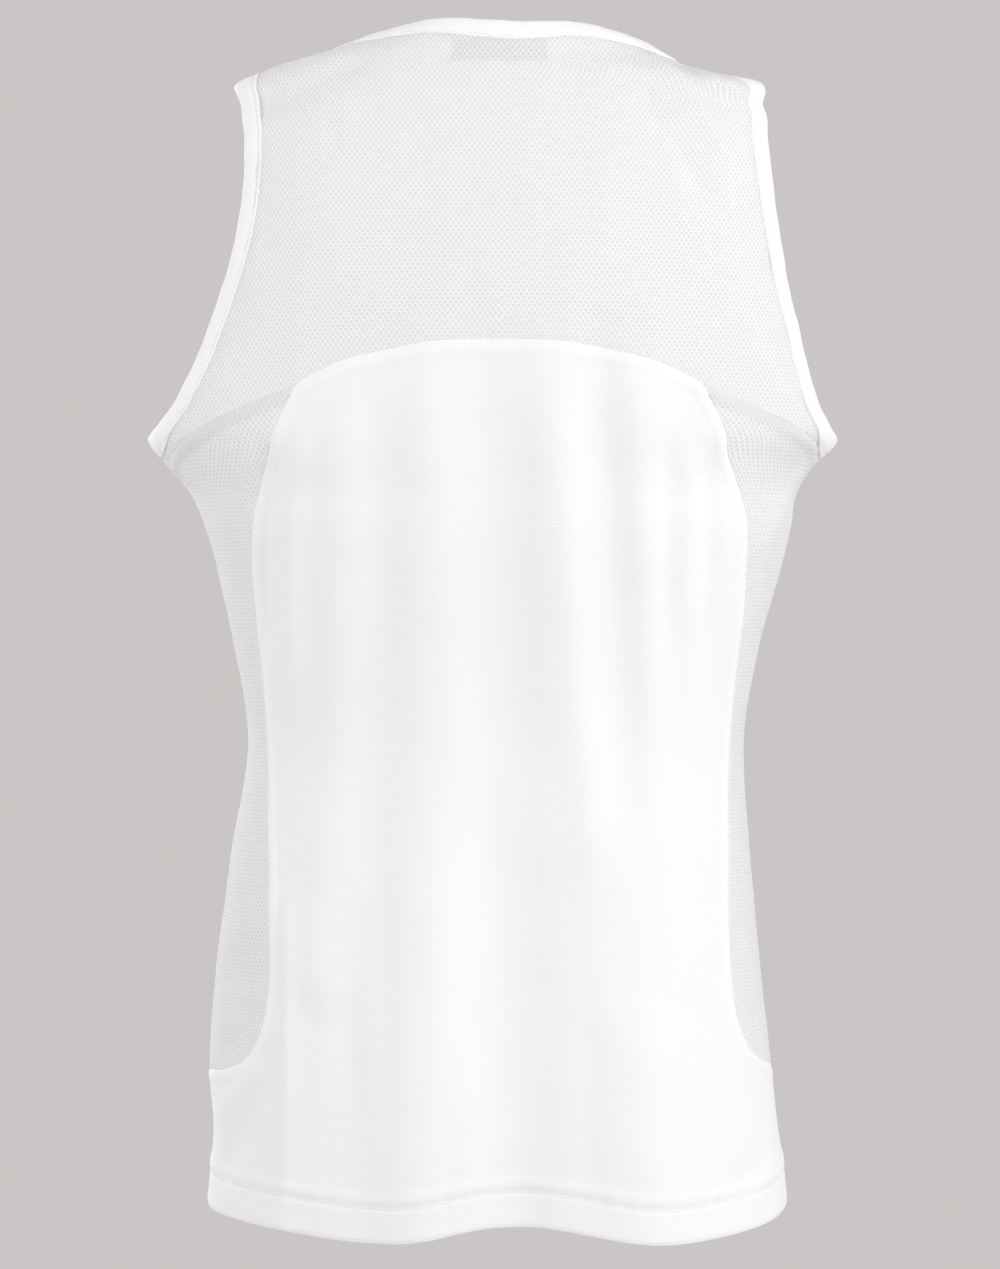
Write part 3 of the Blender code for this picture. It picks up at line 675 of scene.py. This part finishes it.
def gridPiece(name, points, flat, beside=None):
    deselect()
    rows, columns = points.shape[:2]
    bpy.ops.mesh.primitive_grid_add(x_subdivisions=columns - 1, y_subdivisions=rows - 1, size=1)
    piece = bpy.context.object
    piece.name = name
    piece.data.name = name
    piece.data.vertices.foreach_set("co", points.astype(np.float32).ravel())
    corner = np.zeros(len(piece.data.loops), dtype=np.int32)
    piece.data.loops.foreach_get("vertex_index", corner)
    piece.data.uv_layers[0].name = "flatCloth"
    piece.data.uv_layers[0].data.foreach_set("uv", flat.reshape(-1, 2)[corner].astype(np.float32).ravel())
    if beside is not None:
        layer = piece.data.uv_layers.new(name="besideSeam")
        layer.data.foreach_set("uv", beside[corner].astype(np.float32).ravel())
    piece.data.update()
    return piece


def joined(pieces):
    deselect()
    for piece in pieces:
        piece.select_set(True)
    bpy.context.view_layer.objects.active = pieces[0]
    bpy.ops.object.join()
    editWhole(lambda: bpy.ops.mesh.remove_doubles(threshold=0.00002))
    return pieces[0]


def thickened(piece, thickness, heavyBelow=None, heavyShare=1.0):
    deselect()
    piece.select_set(True)
    bpy.context.view_layer.objects.active = piece
    wall = piece.modifiers.new("wall", "SOLIDIFY")
    wall.thickness = thickness
    wall.offset = -1.0
    wall.use_rim = True
    if heavyBelow is not None:
        group = piece.vertex_groups.new(name="hemFold")
        for vertex in piece.data.vertices:
            group.add([vertex.index], 1.0 if heavyBelow(vertex.co) else 1.0 / heavyShare, "REPLACE")
        wall.thickness = thickness * heavyShare
        wall.vertex_group = group.name
    bpy.ops.object.modifier_apply(modifier=wall.name)
    bpy.ops.object.shade_smooth_by_angle(angle=math.radians(50))
    return piece


def sewn(piece, node, finish):
    piece.data.materials.clear()
    piece.data.materials.append(finish)
    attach(piece, "root")
    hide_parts(node)


print("form and cut ready")


# Materials. Every cloth reads its flat place in metres from its UV map.
# The knit's edge colour is the knit painted lighter: a painted highlight for the light on the raised band over a
# turned-in seam edge.
knitLook = {"white": (0.889, 0.892, 0.899, 1.0), "shade": (0.876, 0.879, 0.887, 1.0), "ribPitch": 0.00215,
            "edge": (0.935, 0.938, 0.945, 1.0), "loopPitch": 0.00085, "bump": 0.00007, "roughness": 0.82,
            "sheen": 0.12}
# The mesh's shade colour is the hole colour: a painted shade of the hollow inside seen through the eyelets.
meshLook = {"white": (0.966, 0.969, 0.975, 1.0), "shade": (0.935, 0.937, 0.944, 1.0), "acrossPitch": 0.0031,
            "rowPitch": 0.0022, "holeRadius": 0.00056, "softness": 0.0005, "thread": 0.76, "open": 0.18,
            "bump": 0.00044, "roughness": 0.8, "sheen": 0.1}
tapeLook = {"white": (0.955, 0.957, 0.962, 1.0), "shade": (0.93, 0.932, 0.938, 1.0), "ribPitch": 0.001,
            "bump": 0.0001, "roughness": 0.7, "sheen": 0.15}
labelLook = {"light": (0.11, 0.11, 0.12, 1.0), "dark": (0.06, 0.06, 0.065, 1.0), "threadPitch": 0.0006,
             "bump": 0.0001, "roughness": 0.75}
threadLook = {"white": (0.93, 0.93, 0.935, 1.0), "roughness": 0.5}


def newMaterial(name, roughness, sheen=0.0):
    made = bpy.data.materials.new(name)
    made.use_nodes = True
    shader = made.node_tree.nodes["Principled BSDF"]
    shader.inputs["Roughness"].default_value = roughness
    shader.inputs["Sheen Weight"].default_value = sheen
    shader.inputs["Sheen Roughness"].default_value = 0.5
    shader.inputs["Specular IOR Level"].default_value = 0.3
    return made, made.node_tree, shader


def calculated(tree, operation, first, second=None):
    node = tree.nodes.new("ShaderNodeMath")
    node.operation = operation
    for socket, value in zip(node.inputs, (first, second)):
        if value is None:
            continue
        if isinstance(value, (int, float)):
            socket.default_value = value
        else:
            tree.links.new(value, socket)
    return node.outputs[0]


def times(tree, first, second):
    return calculated(tree, "MULTIPLY", first, second)


def plus(tree, first, second):
    return calculated(tree, "ADD", first, second)


def minus(tree, first, second):
    return calculated(tree, "SUBTRACT", first, second)


def placeOn(tree, layer):
    # the place on a UV map, whole and as its two parts
    place = tree.nodes.new("ShaderNodeUVMap")
    place.uv_map = layer
    parts = tree.nodes.new("ShaderNodeSeparateXYZ")
    tree.links.new(place.outputs["UV"], parts.inputs[0])
    return place.outputs["UV"], parts.outputs[0], parts.outputs[1]


def stepped(tree, value, low, high, start=0.0, end=1.0):
    node = tree.nodes.new("ShaderNodeMapRange")
    node.interpolation_type = "SMOOTHSTEP"
    tree.links.new(value, node.inputs["Value"])
    node.inputs["From Min"].default_value = low
    node.inputs["From Max"].default_value = high
    node.inputs["To Min"].default_value = start
    node.inputs["To Max"].default_value = end
    return node.outputs["Result"]


def speckle(tree, place, scale, detail=2.0):
    size = tree.nodes.new("ShaderNodeVectorMath")
    size.operation = "MULTIPLY"
    size.inputs[1].default_value = scale
    tree.links.new(place, size.inputs[0])
    node = tree.nodes.new("ShaderNodeTexNoise")
    node.inputs["Scale"].default_value = 1.0
    node.inputs["Detail"].default_value = detail
    tree.links.new(size.outputs[0], node.inputs["Vector"])
    return node.outputs["Fac"]


mixSockets = {"first": 6, "second": 7, "result": 2}


def blended(tree, share, first, second):
    node = tree.nodes.new("ShaderNodeMix")
    node.data_type = "RGBA"
    tree.links.new(share, node.inputs[0])
    for name, colour in (("first", first), ("second", second)):
        socket = node.inputs[mixSockets[name]]
        if isinstance(colour, tuple):
            socket.default_value = colour
        else:
            tree.links.new(colour, socket)
    return node.outputs[mixSockets["result"]]


def bumped(tree, height, distance, shader, strength=1.0):
    node = tree.nodes.new("ShaderNodeBump")
    node.inputs["Strength"].default_value = strength
    node.inputs["Distance"].default_value = distance
    tree.links.new(height, node.inputs["Height"])
    tree.links.new(node.outputs[0], shader.inputs["Normal"])


def knitMaterial():
    made, tree, shader = newMaterial("whiteRibbedKnit", knitLook["roughness"], knitLook["sheen"])
    place, across, up = placeOn(tree, "flatCloth")
    rib = calculated(tree, "SINE", times(tree, up, 2 * math.pi / knitLook["ribPitch"]))
    loops = calculated(tree, "SINE", times(tree, across, 2 * math.pi / knitLook["loopPitch"]))
    uneven = speckle(tree, place, (120.0, 900.0, 1.0), 3.0)
    cloudy = speckle(tree, place, (14.0, 30.0, 1.0), 2.0)
    weave = plus(tree, times(tree, rib, 0.42), times(tree, loops, 0.12))
    weave = plus(tree, weave, times(tree, uneven, 0.7))
    shade = plus(tree, times(tree, weave, 0.3), times(tree, cloudy, 0.45))
    colour = blended(tree, stepped(tree, shade, 0.0, 0.62), knitLook["shade"], knitLook["white"])
    # Painted highlight: over a turned-in seam edge the knit is painted lighter, standing for the light on the
    # raised band there.
    edge = stepped(tree, placeOn(tree, "besideSeam")[2], 0.0052, 0.0076, 0.45, 0.0)
    tree.links.new(blended(tree, edge, colour, knitLook["edge"]), shader.inputs["Base Color"])
    bumped(tree, weave, knitLook["bump"], shader)
    return made


def meshMaterial():
    made, tree, shader = newMaterial("whiteEyeletMesh", meshLook["roughness"], meshLook["sheen"])
    place, across, up = placeOn(tree, "flatCloth")
    wobble = speckle(tree, place, (160.0, 160.0, 1.0), 1.0)
    across = plus(tree, across, times(tree, minus(tree, wobble, 0.5), 0.0005))
    columns = calculated(tree, "DIVIDE", across, meshLook["acrossPitch"])
    rows = calculated(tree, "DIVIDE", up, 2 * meshLook["rowPitch"])
    distances = []
    for shift in (0.0, 0.5):
        over = calculated(tree, "FRACT", plus(tree, columns, shift + 100.0))
        over = times(tree, minus(tree, over, 0.5), meshLook["acrossPitch"])
        high = calculated(tree, "FRACT", plus(tree, rows, shift + 100.0))
        high = times(tree, minus(tree, high, 0.5), 1.7 * meshLook["rowPitch"])
        square = plus(tree, times(tree, over, over), times(tree, high, high))
        distances.append(calculated(tree, "SQRT", square))
    distance = calculated(tree, "MINIMUM", distances[0], distances[1])
    hole = stepped(tree, distance, meshLook["holeRadius"] - meshLook["softness"],
                   meshLook["holeRadius"] + meshLook["softness"], 1.0, 0.0)
    _, nearSeam, nearEdge = placeOn(tree, "besideSeam")
    hole = times(tree, hole, stepped(tree, nearSeam, 0.0012, 0.0026))
    edge = stepped(tree, nearEdge, 0.006, 0.008, 1.0, 0.0)
    hole = times(tree, hole, minus(tree, 1.0, times(tree, edge, 0.7)))
    height = stepped(tree, distance, 0.0001, 0.0015)
    yarn = speckle(tree, place, (1500.0, 700.0, 1.0), 2.0)
    height = plus(tree, height, times(tree, yarn, 0.25))
    # Painted shade: the holes are painted a darker tone for the shaded hollow inside seen through them, while the
    # Alpha below also lets the real inside show.
    colour = blended(tree, hole, meshLook["white"], meshLook["shade"])
    # Over a turned-in edge the mesh loses most of its holes and is blended toward the knit's edge colour, which
    # carries the painted highlight of the raised band.
    edgeShare = times(tree, edge, 0.7)
    tree.links.new(blended(tree, edgeShare, colour, knitLook["edge"]), shader.inputs["Base Color"])
    tree.links.new(minus(tree, meshLook["thread"], times(tree, hole, meshLook["open"])),
                   shader.inputs["Alpha"])
    bumped(tree, height, meshLook["bump"], shader)
    return made


def tapeMaterial():
    made, tree, shader = newMaterial("whiteKnitTape", tapeLook["roughness"], tapeLook["sheen"])
    place, along, _ = placeOn(tree, "flatCloth")
    rib = calculated(tree, "SINE", times(tree, along, 2 * math.pi / tapeLook["ribPitch"]))
    uneven = speckle(tree, place, (500.0, 900.0, 1.0), 3.0)
    weave = plus(tree, times(tree, rib, 0.3), uneven)
    tree.links.new(blended(tree, stepped(tree, weave, 0.1, 0.9), tapeLook["shade"], tapeLook["white"]),
                   shader.inputs["Base Color"])
    bumped(tree, weave, tapeLook["bump"], shader)
    return made


def labelMaterial():
    made, tree, shader = newMaterial("greyWovenLabel", labelLook["roughness"])
    _, along, over = placeOn(tree, "flatCloth")
    warp = calculated(tree, "SINE", times(tree, along, 2 * math.pi / labelLook["threadPitch"]))
    weft = calculated(tree, "SINE", times(tree, over, 2 * math.pi / labelLook["threadPitch"]))
    weave = times(tree, warp, weft)
    tree.links.new(blended(tree, stepped(tree, weave, -1.0, 1.0), labelLook["dark"], labelLook["light"]),
                   shader.inputs["Base Color"])
    bumped(tree, weave, labelLook["bump"], shader)
    return made


def threadMaterial():
    made, tree, shader = newMaterial("whiteSewingThread", threadLook["roughness"], 0.1)
    coords = tree.nodes.new("ShaderNodeTexCoord")
    twist = speckle(tree, coords.outputs["Object"], (900.0, 900.0, 900.0), 1.0)
    tree.links.new(blended(tree, twist, (0.86, 0.86, 0.87, 1.0), threadLook["white"]), shader.inputs["Base Color"])
    return made


knit, eyelet, tape, label, thread = (
    knitMaterial(), meshMaterial(), tapeMaterial(), labelMaterial(), threadMaterial()
)
print("materials made")

wall = {"cloth": 0.0012, "hemShare": 2.0, "labelWall": 0.0008, "labelDepth": 0.0021}
mirror = {left: "Left", right: "Right"}


def shoulders(start, end, neck):
    ends = [spread([hole[-1], tip], counts["shoulder"]) for hole, tip in ((start, neck[0]), (end, neck[-1]))]
    return ends[0][:-1] + neck + ends[1][-2::-1]


def makePiece(name, grids, relief):
    parts = []
    for number, fine in enumerate(grids):
        points, beside = clothPoints(fine, relief)
        parts.append(gridPiece(name if number == 0 else name + "Part", points, fine[..., 2:4], beside))
    return joined(parts) if len(parts) > 1 else parts[0]


def underTape():
    return cut["bindingWidth"] - cut["underBinding"]


def makeYoke():
    neck = movedIn(neckEdge(back), underTape(), (-1, -1))
    start, end = (
        [(sideAngle(side, back), cut["yokeEnd"])] + movedIn(armholeEdge(side, back), underTape(), (-1, 1))
        for side in (left, right)
    )
    high = shoulders(start, end, neck)
    low = yokeSeam(left)[:-1] + yokeArch() + yokeSeam(right)[-2::-1]
    inner = counts["tongue"]
    middle = patch(low[inner:-inner], high, [low[inner]] + start[inner + 1:], [low[-inner - 1]] + end[inner + 1:])
    rows, columns = middle.shape[0] - 1, middle.shape[1] - 1
    rowSteps, columnSteps = finerSteps(rows, 7, 10), finerSteps(columns, 6, 7)
    shoulder = counts["shoulder"]
    grids = [refined(middle, rowSteps, columnSteps, (1,), (shoulder, columns - shoulder))]
    tongueRows = rowSteps[rowSteps <= 1.0]
    for tongue in ([low[:inner + 1], start[1:inner + 2]], [low[-inner - 1:], end[inner + 1:0:-1]]):
        grids.append(refined(tongue, tongueRows, finerSteps(inner, 10, 10)))
    return thickened(makePiece("yokeCloth", grids, "yoke"), wall["cloth"])


def hemmed(low, end, high, start):
    stitch = [start[1]] + raised(low[1:-1], cut["hemHeight"]) + [end[1]]
    rows = patch(stitch, high, start[1:], end[1:])
    return np.concatenate([np.array(low, dtype=float)[None], rows])


def belowStitch(seam):
    line = seamLines[seam]
    order = np.argsort(line[:, 0])
    across, heights = line[order, 0], line[order, 2]
    return lambda place: place.z < np.interp(place.x, across, heights) + cut["hemHeight"]


def makeBody():
    start, end = (
        (panelSeam(side) + sideSeam(side, back)[counts["panel"] + counts["foot"] + 2:])[::-1]
        for side in (left, right)
    )
    grid = hemmed(hemEdge(back, counts["back"]), end, yokeArch(), start)
    toe = 1 + counts["hip"]
    rowSteps = finerSteps(grid.shape[0] - 1, 7, 14)
    columnSteps = finerSteps(grid.shape[1] - 1, 6, 9)
    piece = makePiece("lowerBackCloth", [refined(grid, rowSteps, columnSteps, (toe,))], "body")
    return thickened(piece, wall["cloth"], belowStitch("hemBack"), wall["hemShare"])


def makeSidePanel(side):
    inner = panelSeam(side)[::-1]
    seam = sideSeam(side, back)[1:counts["panel"] + counts["foot"] + 2]
    seam[-1] = (seam[-1][0], cut["panelToe"] + cut["toeStep"])
    outer = seam[::-1]
    low = spread([outer[0], inner[0]], counts["side"])
    high = yokeSeam(side)
    if side == right:
        low, high, outer, inner = low[::-1], high[::-1], inner, outer
    grid = patch(low, high, outer, inner)
    fine = refined(grid, finerSteps(grid.shape[0] - 1, 10, 12), finerSteps(grid.shape[1] - 1, 9, 12))
    return thickened(makePiece("sidePanelCloth" + mirror[side], [fine], "panel"), wall["cloth"])


def plumbLine(low, high, heights):
    start = low[1] + cut["hemHeight"]
    line = [low]
    for height in heights[1:]:
        part = (height - heights[1]) / (heights[-1] - heights[1])
        line.append((low[0] + (high[0] - low[0]) * part, start + (high[1] - start) * part))
    return line


def makeFront():
    neck = movedIn(neckEdge(front), underTape(), (-1, -1))
    seams = [sideSeam(side, front)[:0:-1] for side in (right, left)]
    start, end = (
        seam + movedIn(armholeEdge(side, front), underTape(), (-1, 1)) for seam, side in zip(seams, (right, left))
    )
    high = shoulders(end, start, neck)[::-1]
    inner = counts["tongue"]
    low = hemEdge(front, len(high) - 1 + 2 * inner)[::-1]
    under = len(seams[0])
    lineStart = plumbLine(low[inner], start[under + inner], [height for _, height in start[:under + 1]])
    lineEnd = plumbLine(low[-inner - 1], end[under + inner], [height for _, height in end[:under + 1]])
    middle = hemmed(
        low[inner:-inner], lineEnd + end[under + inner + 1:], high, lineStart + start[under + inner + 1:]
    )
    rows, columns = middle.shape[0] - 1, middle.shape[1] - 1
    rowSteps, columnSteps = finerSteps(rows, 5, 12), finerSteps(columns, 5, 6)
    shoulder = counts["shoulder"]
    grids = [refined(middle, rowSteps, columnSteps, (under,), (shoulder, columns - shoulder))]
    stripRows = rowSteps[rowSteps <= under]
    strips = (
        hemmed(low[:inner + 1], lineStart, start[under:under + inner + 1], start[:under + 1]),
        hemmed(low[-inner - 1:], end[:under + 1], end[under + inner:under - 1:-1], lineEnd),
    )
    for strip in strips:
        grids.append(refined(strip, stripRows, finerSteps(inner, 8, 8)))
    piece = makePiece("frontCloth", grids, "front")
    return thickened(piece, wall["cloth"], belowStitch("hemFront"), wall["hemShare"])


# Folded tape in section: share of the way from the free edge to the sewn edge, and
# how far it stands off the form.
tapeSection = (
    (0.000, -0.0006), (0.012, 0.00000), (0.06, 0.0005), (0.18, 0.0008), (0.42, 0.00095), (0.66, 0.00084),
    (0.79, 0.00062), (0.85, 0.00022), (0.905, 0.00062), (0.96, 0.00072), (1.000, 0.0003), (1.006, -0.0008),
    (0.96, -0.0015), (0.6, -0.00172), (0.25, -0.0017), (0.06, -0.00145), (0.012, -0.001),
)


def closedRing(first, second, times):
    parts = [np.array(edge, dtype=float) for edge in (first, second)]
    fine = [refinedAlong(part, finerSteps(len(part) - 1, times, times))[:-1] for part in parts]
    return np.concatenate(fine)


def makeTape(name, outer, inner, seed):
    # outer and inner are rings of places; the tape's section is carried round between them
    share = np.array([row[0] for row in tapeSection])
    off = np.array([row[1] for row in tapeSection])
    places = outer[:, None] + (inner - outer)[:, None] * share[None, :, None]
    angle, height = places[..., 0], places[..., 1]
    middle = form(outer[:, 0], outer[:, 1])
    steps = np.linalg.norm(np.diff(middle, axis=0, append=middle[:1]), axis=1)
    along = np.concatenate(([0.0], np.cumsum(steps)))
    wave = 0.00012 * np.sin(along[:-1] * 310 + seed) + 0.0001 * np.sin(along[:-1] * 137 + 2 * seed)
    points = form(angle, height) + formNormal(angle, height) * (off[None, :] + wave[:, None])[..., None]
    points = np.concatenate([points, points[:1]])
    points = np.concatenate([points, points[:, :1]], axis=1)
    around = np.concatenate(([0.0], np.cumsum(np.hypot(np.diff(share, append=share[0]) * tapeWidth,
                                                       np.diff(off, append=off[0])))))
    flat = np.stack(np.broadcast_arrays(along[:, None], around[None, :]), axis=-1)
    piece = gridPiece(name, points, flat)
    editWhole(
        lambda: bpy.ops.mesh.remove_doubles(threshold=0.00001),
        lambda: bpy.ops.mesh.normals_make_consistent(inside=False),
    )
    bpy.ops.object.shade_smooth_by_angle(angle=math.radians(60))
    return piece


def neckRings():
    outer = closedRing(neckEdge(back), neckEdge(front)[::-1], 9)
    inner = closedRing(
        movedIn(neckEdge(back), tapeWidth, (-1, -1)), movedIn(neckEdge(front), tapeWidth, (-1, -1))[::-1], 9
    )
    return outer, inner


def armholeRings(side):
    faces = (back, front) if side == right else (front, back)
    first, second = (armholeEdge(side, face) for face in faces)
    outer = closedRing(first, second[::-1], 12)
    inner = closedRing(movedIn(first, tapeWidth, (-1, 1)), movedIn(second, tapeWidth, (-1, 1))[::-1], 12)
    return outer, inner


def unwrapped(ring):
    # a neck or armhole ring crosses the turn at the right side line, where the angle jumps
    ring = ring.copy()
    ring[:, 0] = np.where(ring[:, 0] < -math.pi + 1e-6, ring[:, 0] + 2 * math.pi, ring[:, 0])
    return ring


stitching = {"tapeShare": 0.85, "tapeRise": 0.00042, "hemCount": 60, "hemRise": 0.0001,
             "pitch": 0.0027, "length": 0.0021, "radius": 0.00024, "sink": 0.0001}


def stitchRow(name, line, outward):
    # small rounded stitches along a line of points, each lying along the line
    steps = np.linalg.norm(np.diff(line, axis=0), axis=1)
    along = np.concatenate(([0.0], np.cumsum(steps)))
    count = int(along[-1] / stitching["pitch"])
    at = (np.arange(count) + 0.5) * along[-1] / count
    centre = np.stack([np.interp(at, along, line[:, axis]) for axis in range(3)], axis=1)
    normal = np.stack([np.interp(at, along, outward[:, axis]) for axis in range(3)], axis=1)
    ahead = np.stack([np.interp(at + 0.001, along, line[:, axis]) for axis in range(3)], axis=1)
    behind = np.stack([np.interp(at - 0.001, along, line[:, axis]) for axis in range(3)], axis=1)
    tangent = ahead - behind
    tangent /= np.linalg.norm(tangent, axis=1, keepdims=True)
    normal /= np.linalg.norm(normal, axis=1, keepdims=True)
    beside = np.cross(normal, tangent)
    deselect()
    bpy.ops.mesh.primitive_uv_sphere_add(segments=6, ring_count=5, radius=1.0)
    bead = bpy.context.object
    bead.name = name
    corners = np.zeros(len(bead.data.vertices) * 3)
    bead.data.vertices.foreach_get("co", corners)
    corners = corners.reshape(-1, 3) * (stitching["radius"], stitching["radius"], stitching["length"] / 2)
    single = [tuple(face.vertices) for face in bead.data.polygons]
    places = (
        centre[:, None] + corners[None, :, 0, None] * beside[:, None] + corners[None, :, 1, None] * normal[:, None]
        + corners[None, :, 2, None] * tangent[:, None] - normal[:, None] * stitching["sink"]
    )
    faces = [tuple(index + stitch * len(corners) for index in face) for stitch in range(count) for face in single]
    mesh = bpy.data.meshes.new(name)
    mesh.from_pydata(places.reshape(-1, 3).tolist(), [], faces)
    old = bead.data
    bead.data = mesh
    bpy.data.meshes.remove(old)
    deselect()
    bead.select_set(True)
    bpy.context.view_layer.objects.active = bead
    editWhole(lambda: bpy.ops.mesh.normals_make_consistent(inside=False))
    bpy.ops.object.shade_smooth()
    bead.data.materials.append(thread)
    return sewnAlong(bead)


def tapeStitches(name, outer, inner):
    places = outer + (inner - outer) * stitching["tapeShare"]
    places = np.concatenate([places, places[:1]])
    normal = formNormal(places[:, 0], places[:, 1])
    return stitchRow(name, form(places[:, 0], places[:, 1]) + normal * stitching["tapeRise"], normal)


def hemStitches(name, face, relief):
    edge = hemEdge(face, stitching["hemCount"])
    angle = np.array([place[0] for place in edge])
    height = np.array([place[1] for place in edge]) + cut["hemHeight"]
    normal = formNormal(angle, height)
    line = clothPoints(clothPlaces(np.stack([angle, height], axis=-1)[None]), relief)[0][0]
    return stitchRow(name, line + normal * stitching["hemRise"], normal)


bandCut = {"width": 0.009, "depth": 0.0019, "wall": 0.0006}


def makeBand(name, edge, finish):
    # turned-in seam edge that lies under the cloth below a seam
    low = [shifted(angle, height, np.array([0.0, 0.0, -bandCut["width"]])) for angle, height in edge]
    grid = np.array([low, edge], dtype=float)
    if np.sign(edge[0][0] - edge[-1][0]) > 0:
        grid = grid[:, ::-1]
    fine = refined(grid, finerSteps(1, 4, 4), finerSteps(len(edge) - 1, 8, 8))
    angle, height = fine[..., 0], fine[..., 1]
    points = form(angle, height) - formNormal(angle, height) * bandCut["depth"]
    piece = thickened(gridPiece(name, points, fine[..., 2:4]), bandCut["wall"])
    piece.data.materials.clear()
    piece.data.materials.append(finish)
    return sewnAlong(piece)


yoke = makeYoke()
print("yoke made")
body = makeBody()
print("lower back made")
panels = {side: makeSidePanel(side) for side in (left, right)}
print("side panels made")
frontCloth = makeFront()
print("front made")

neckOuter, neckInner = (unwrapped(ring) for ring in neckRings())
neckTape = makeTape("neckTape", neckOuter, neckInner, 0.4)
armTapes, armStitches = {}, {}
for side in (left, right):
    outer, inner = armholeRings(side)
    if side == right:
        outer, inner = unwrapped(outer), unwrapped(inner)
    armTapes[side] = makeTape("armholeTape" + mirror[side], outer, inner, 1.1 + side)
    armStitches[side] = tapeStitches("armholeStitches" + mirror[side], outer, inner)
neckStitches = tapeStitches("neckStitches", neckOuter, neckInner)
print("tapes made")

backHemStitches = hemStitches("backHemStitches", back, "body")
frontHemStitches = hemStitches("frontHemStitches", front, "front")
bands = {side: makeBand("yokeSeamEdge" + mirror[side], yokeSeam(side), knit) for side in (left, right)}


labelCut = {"width": 0.056, "drop": 0.015, "gap": 0.0006}


def makeLabel():
    width, drop, gap = (labelCut[name] for name in ("width", "drop", "gap"))
    top = walk(math.pi / 2, cut["nape"], -1, cut["bindingWidth"] + gap)
    low = walk(math.pi / 2, top, -1, drop)
    rows = []
    for height in np.linspace(low, top, 14):
        rows.append([(angleAt(across, height, back), height) for across in np.linspace(width / 2, -width / 2, 48)])
    fine = clothPlaces(np.array(rows))
    angle, height = fine[..., 0], fine[..., 1]
    sag = 0.0004 * np.sin(fine[..., 2] * 140) * ease(top, low, height)
    points = form(angle, height) - formNormal(angle, height) * (wall["labelDepth"] + sag)[..., None]
    return thickened(gridPiece("napeLabel", points, fine[..., 2:4]), wall["labelWall"])


napeLabel = makeLabel()
print("stitches and label made")

sewn(yoke, "back_yoke", eyelet)
sewn(body, "back_body", knit)
for side in (left, right):
    sewn(panels[side], "side_panel_" + mirror[side].lower(), eyelet)
    sewn(armTapes[side], "armhole_binding_" + mirror[side].lower(), tape)
sewn(frontCloth, "front_panel", knit)
sewn(neckTape, "neck_binding", tape)
sewn(napeLabel, "neck_label", label)
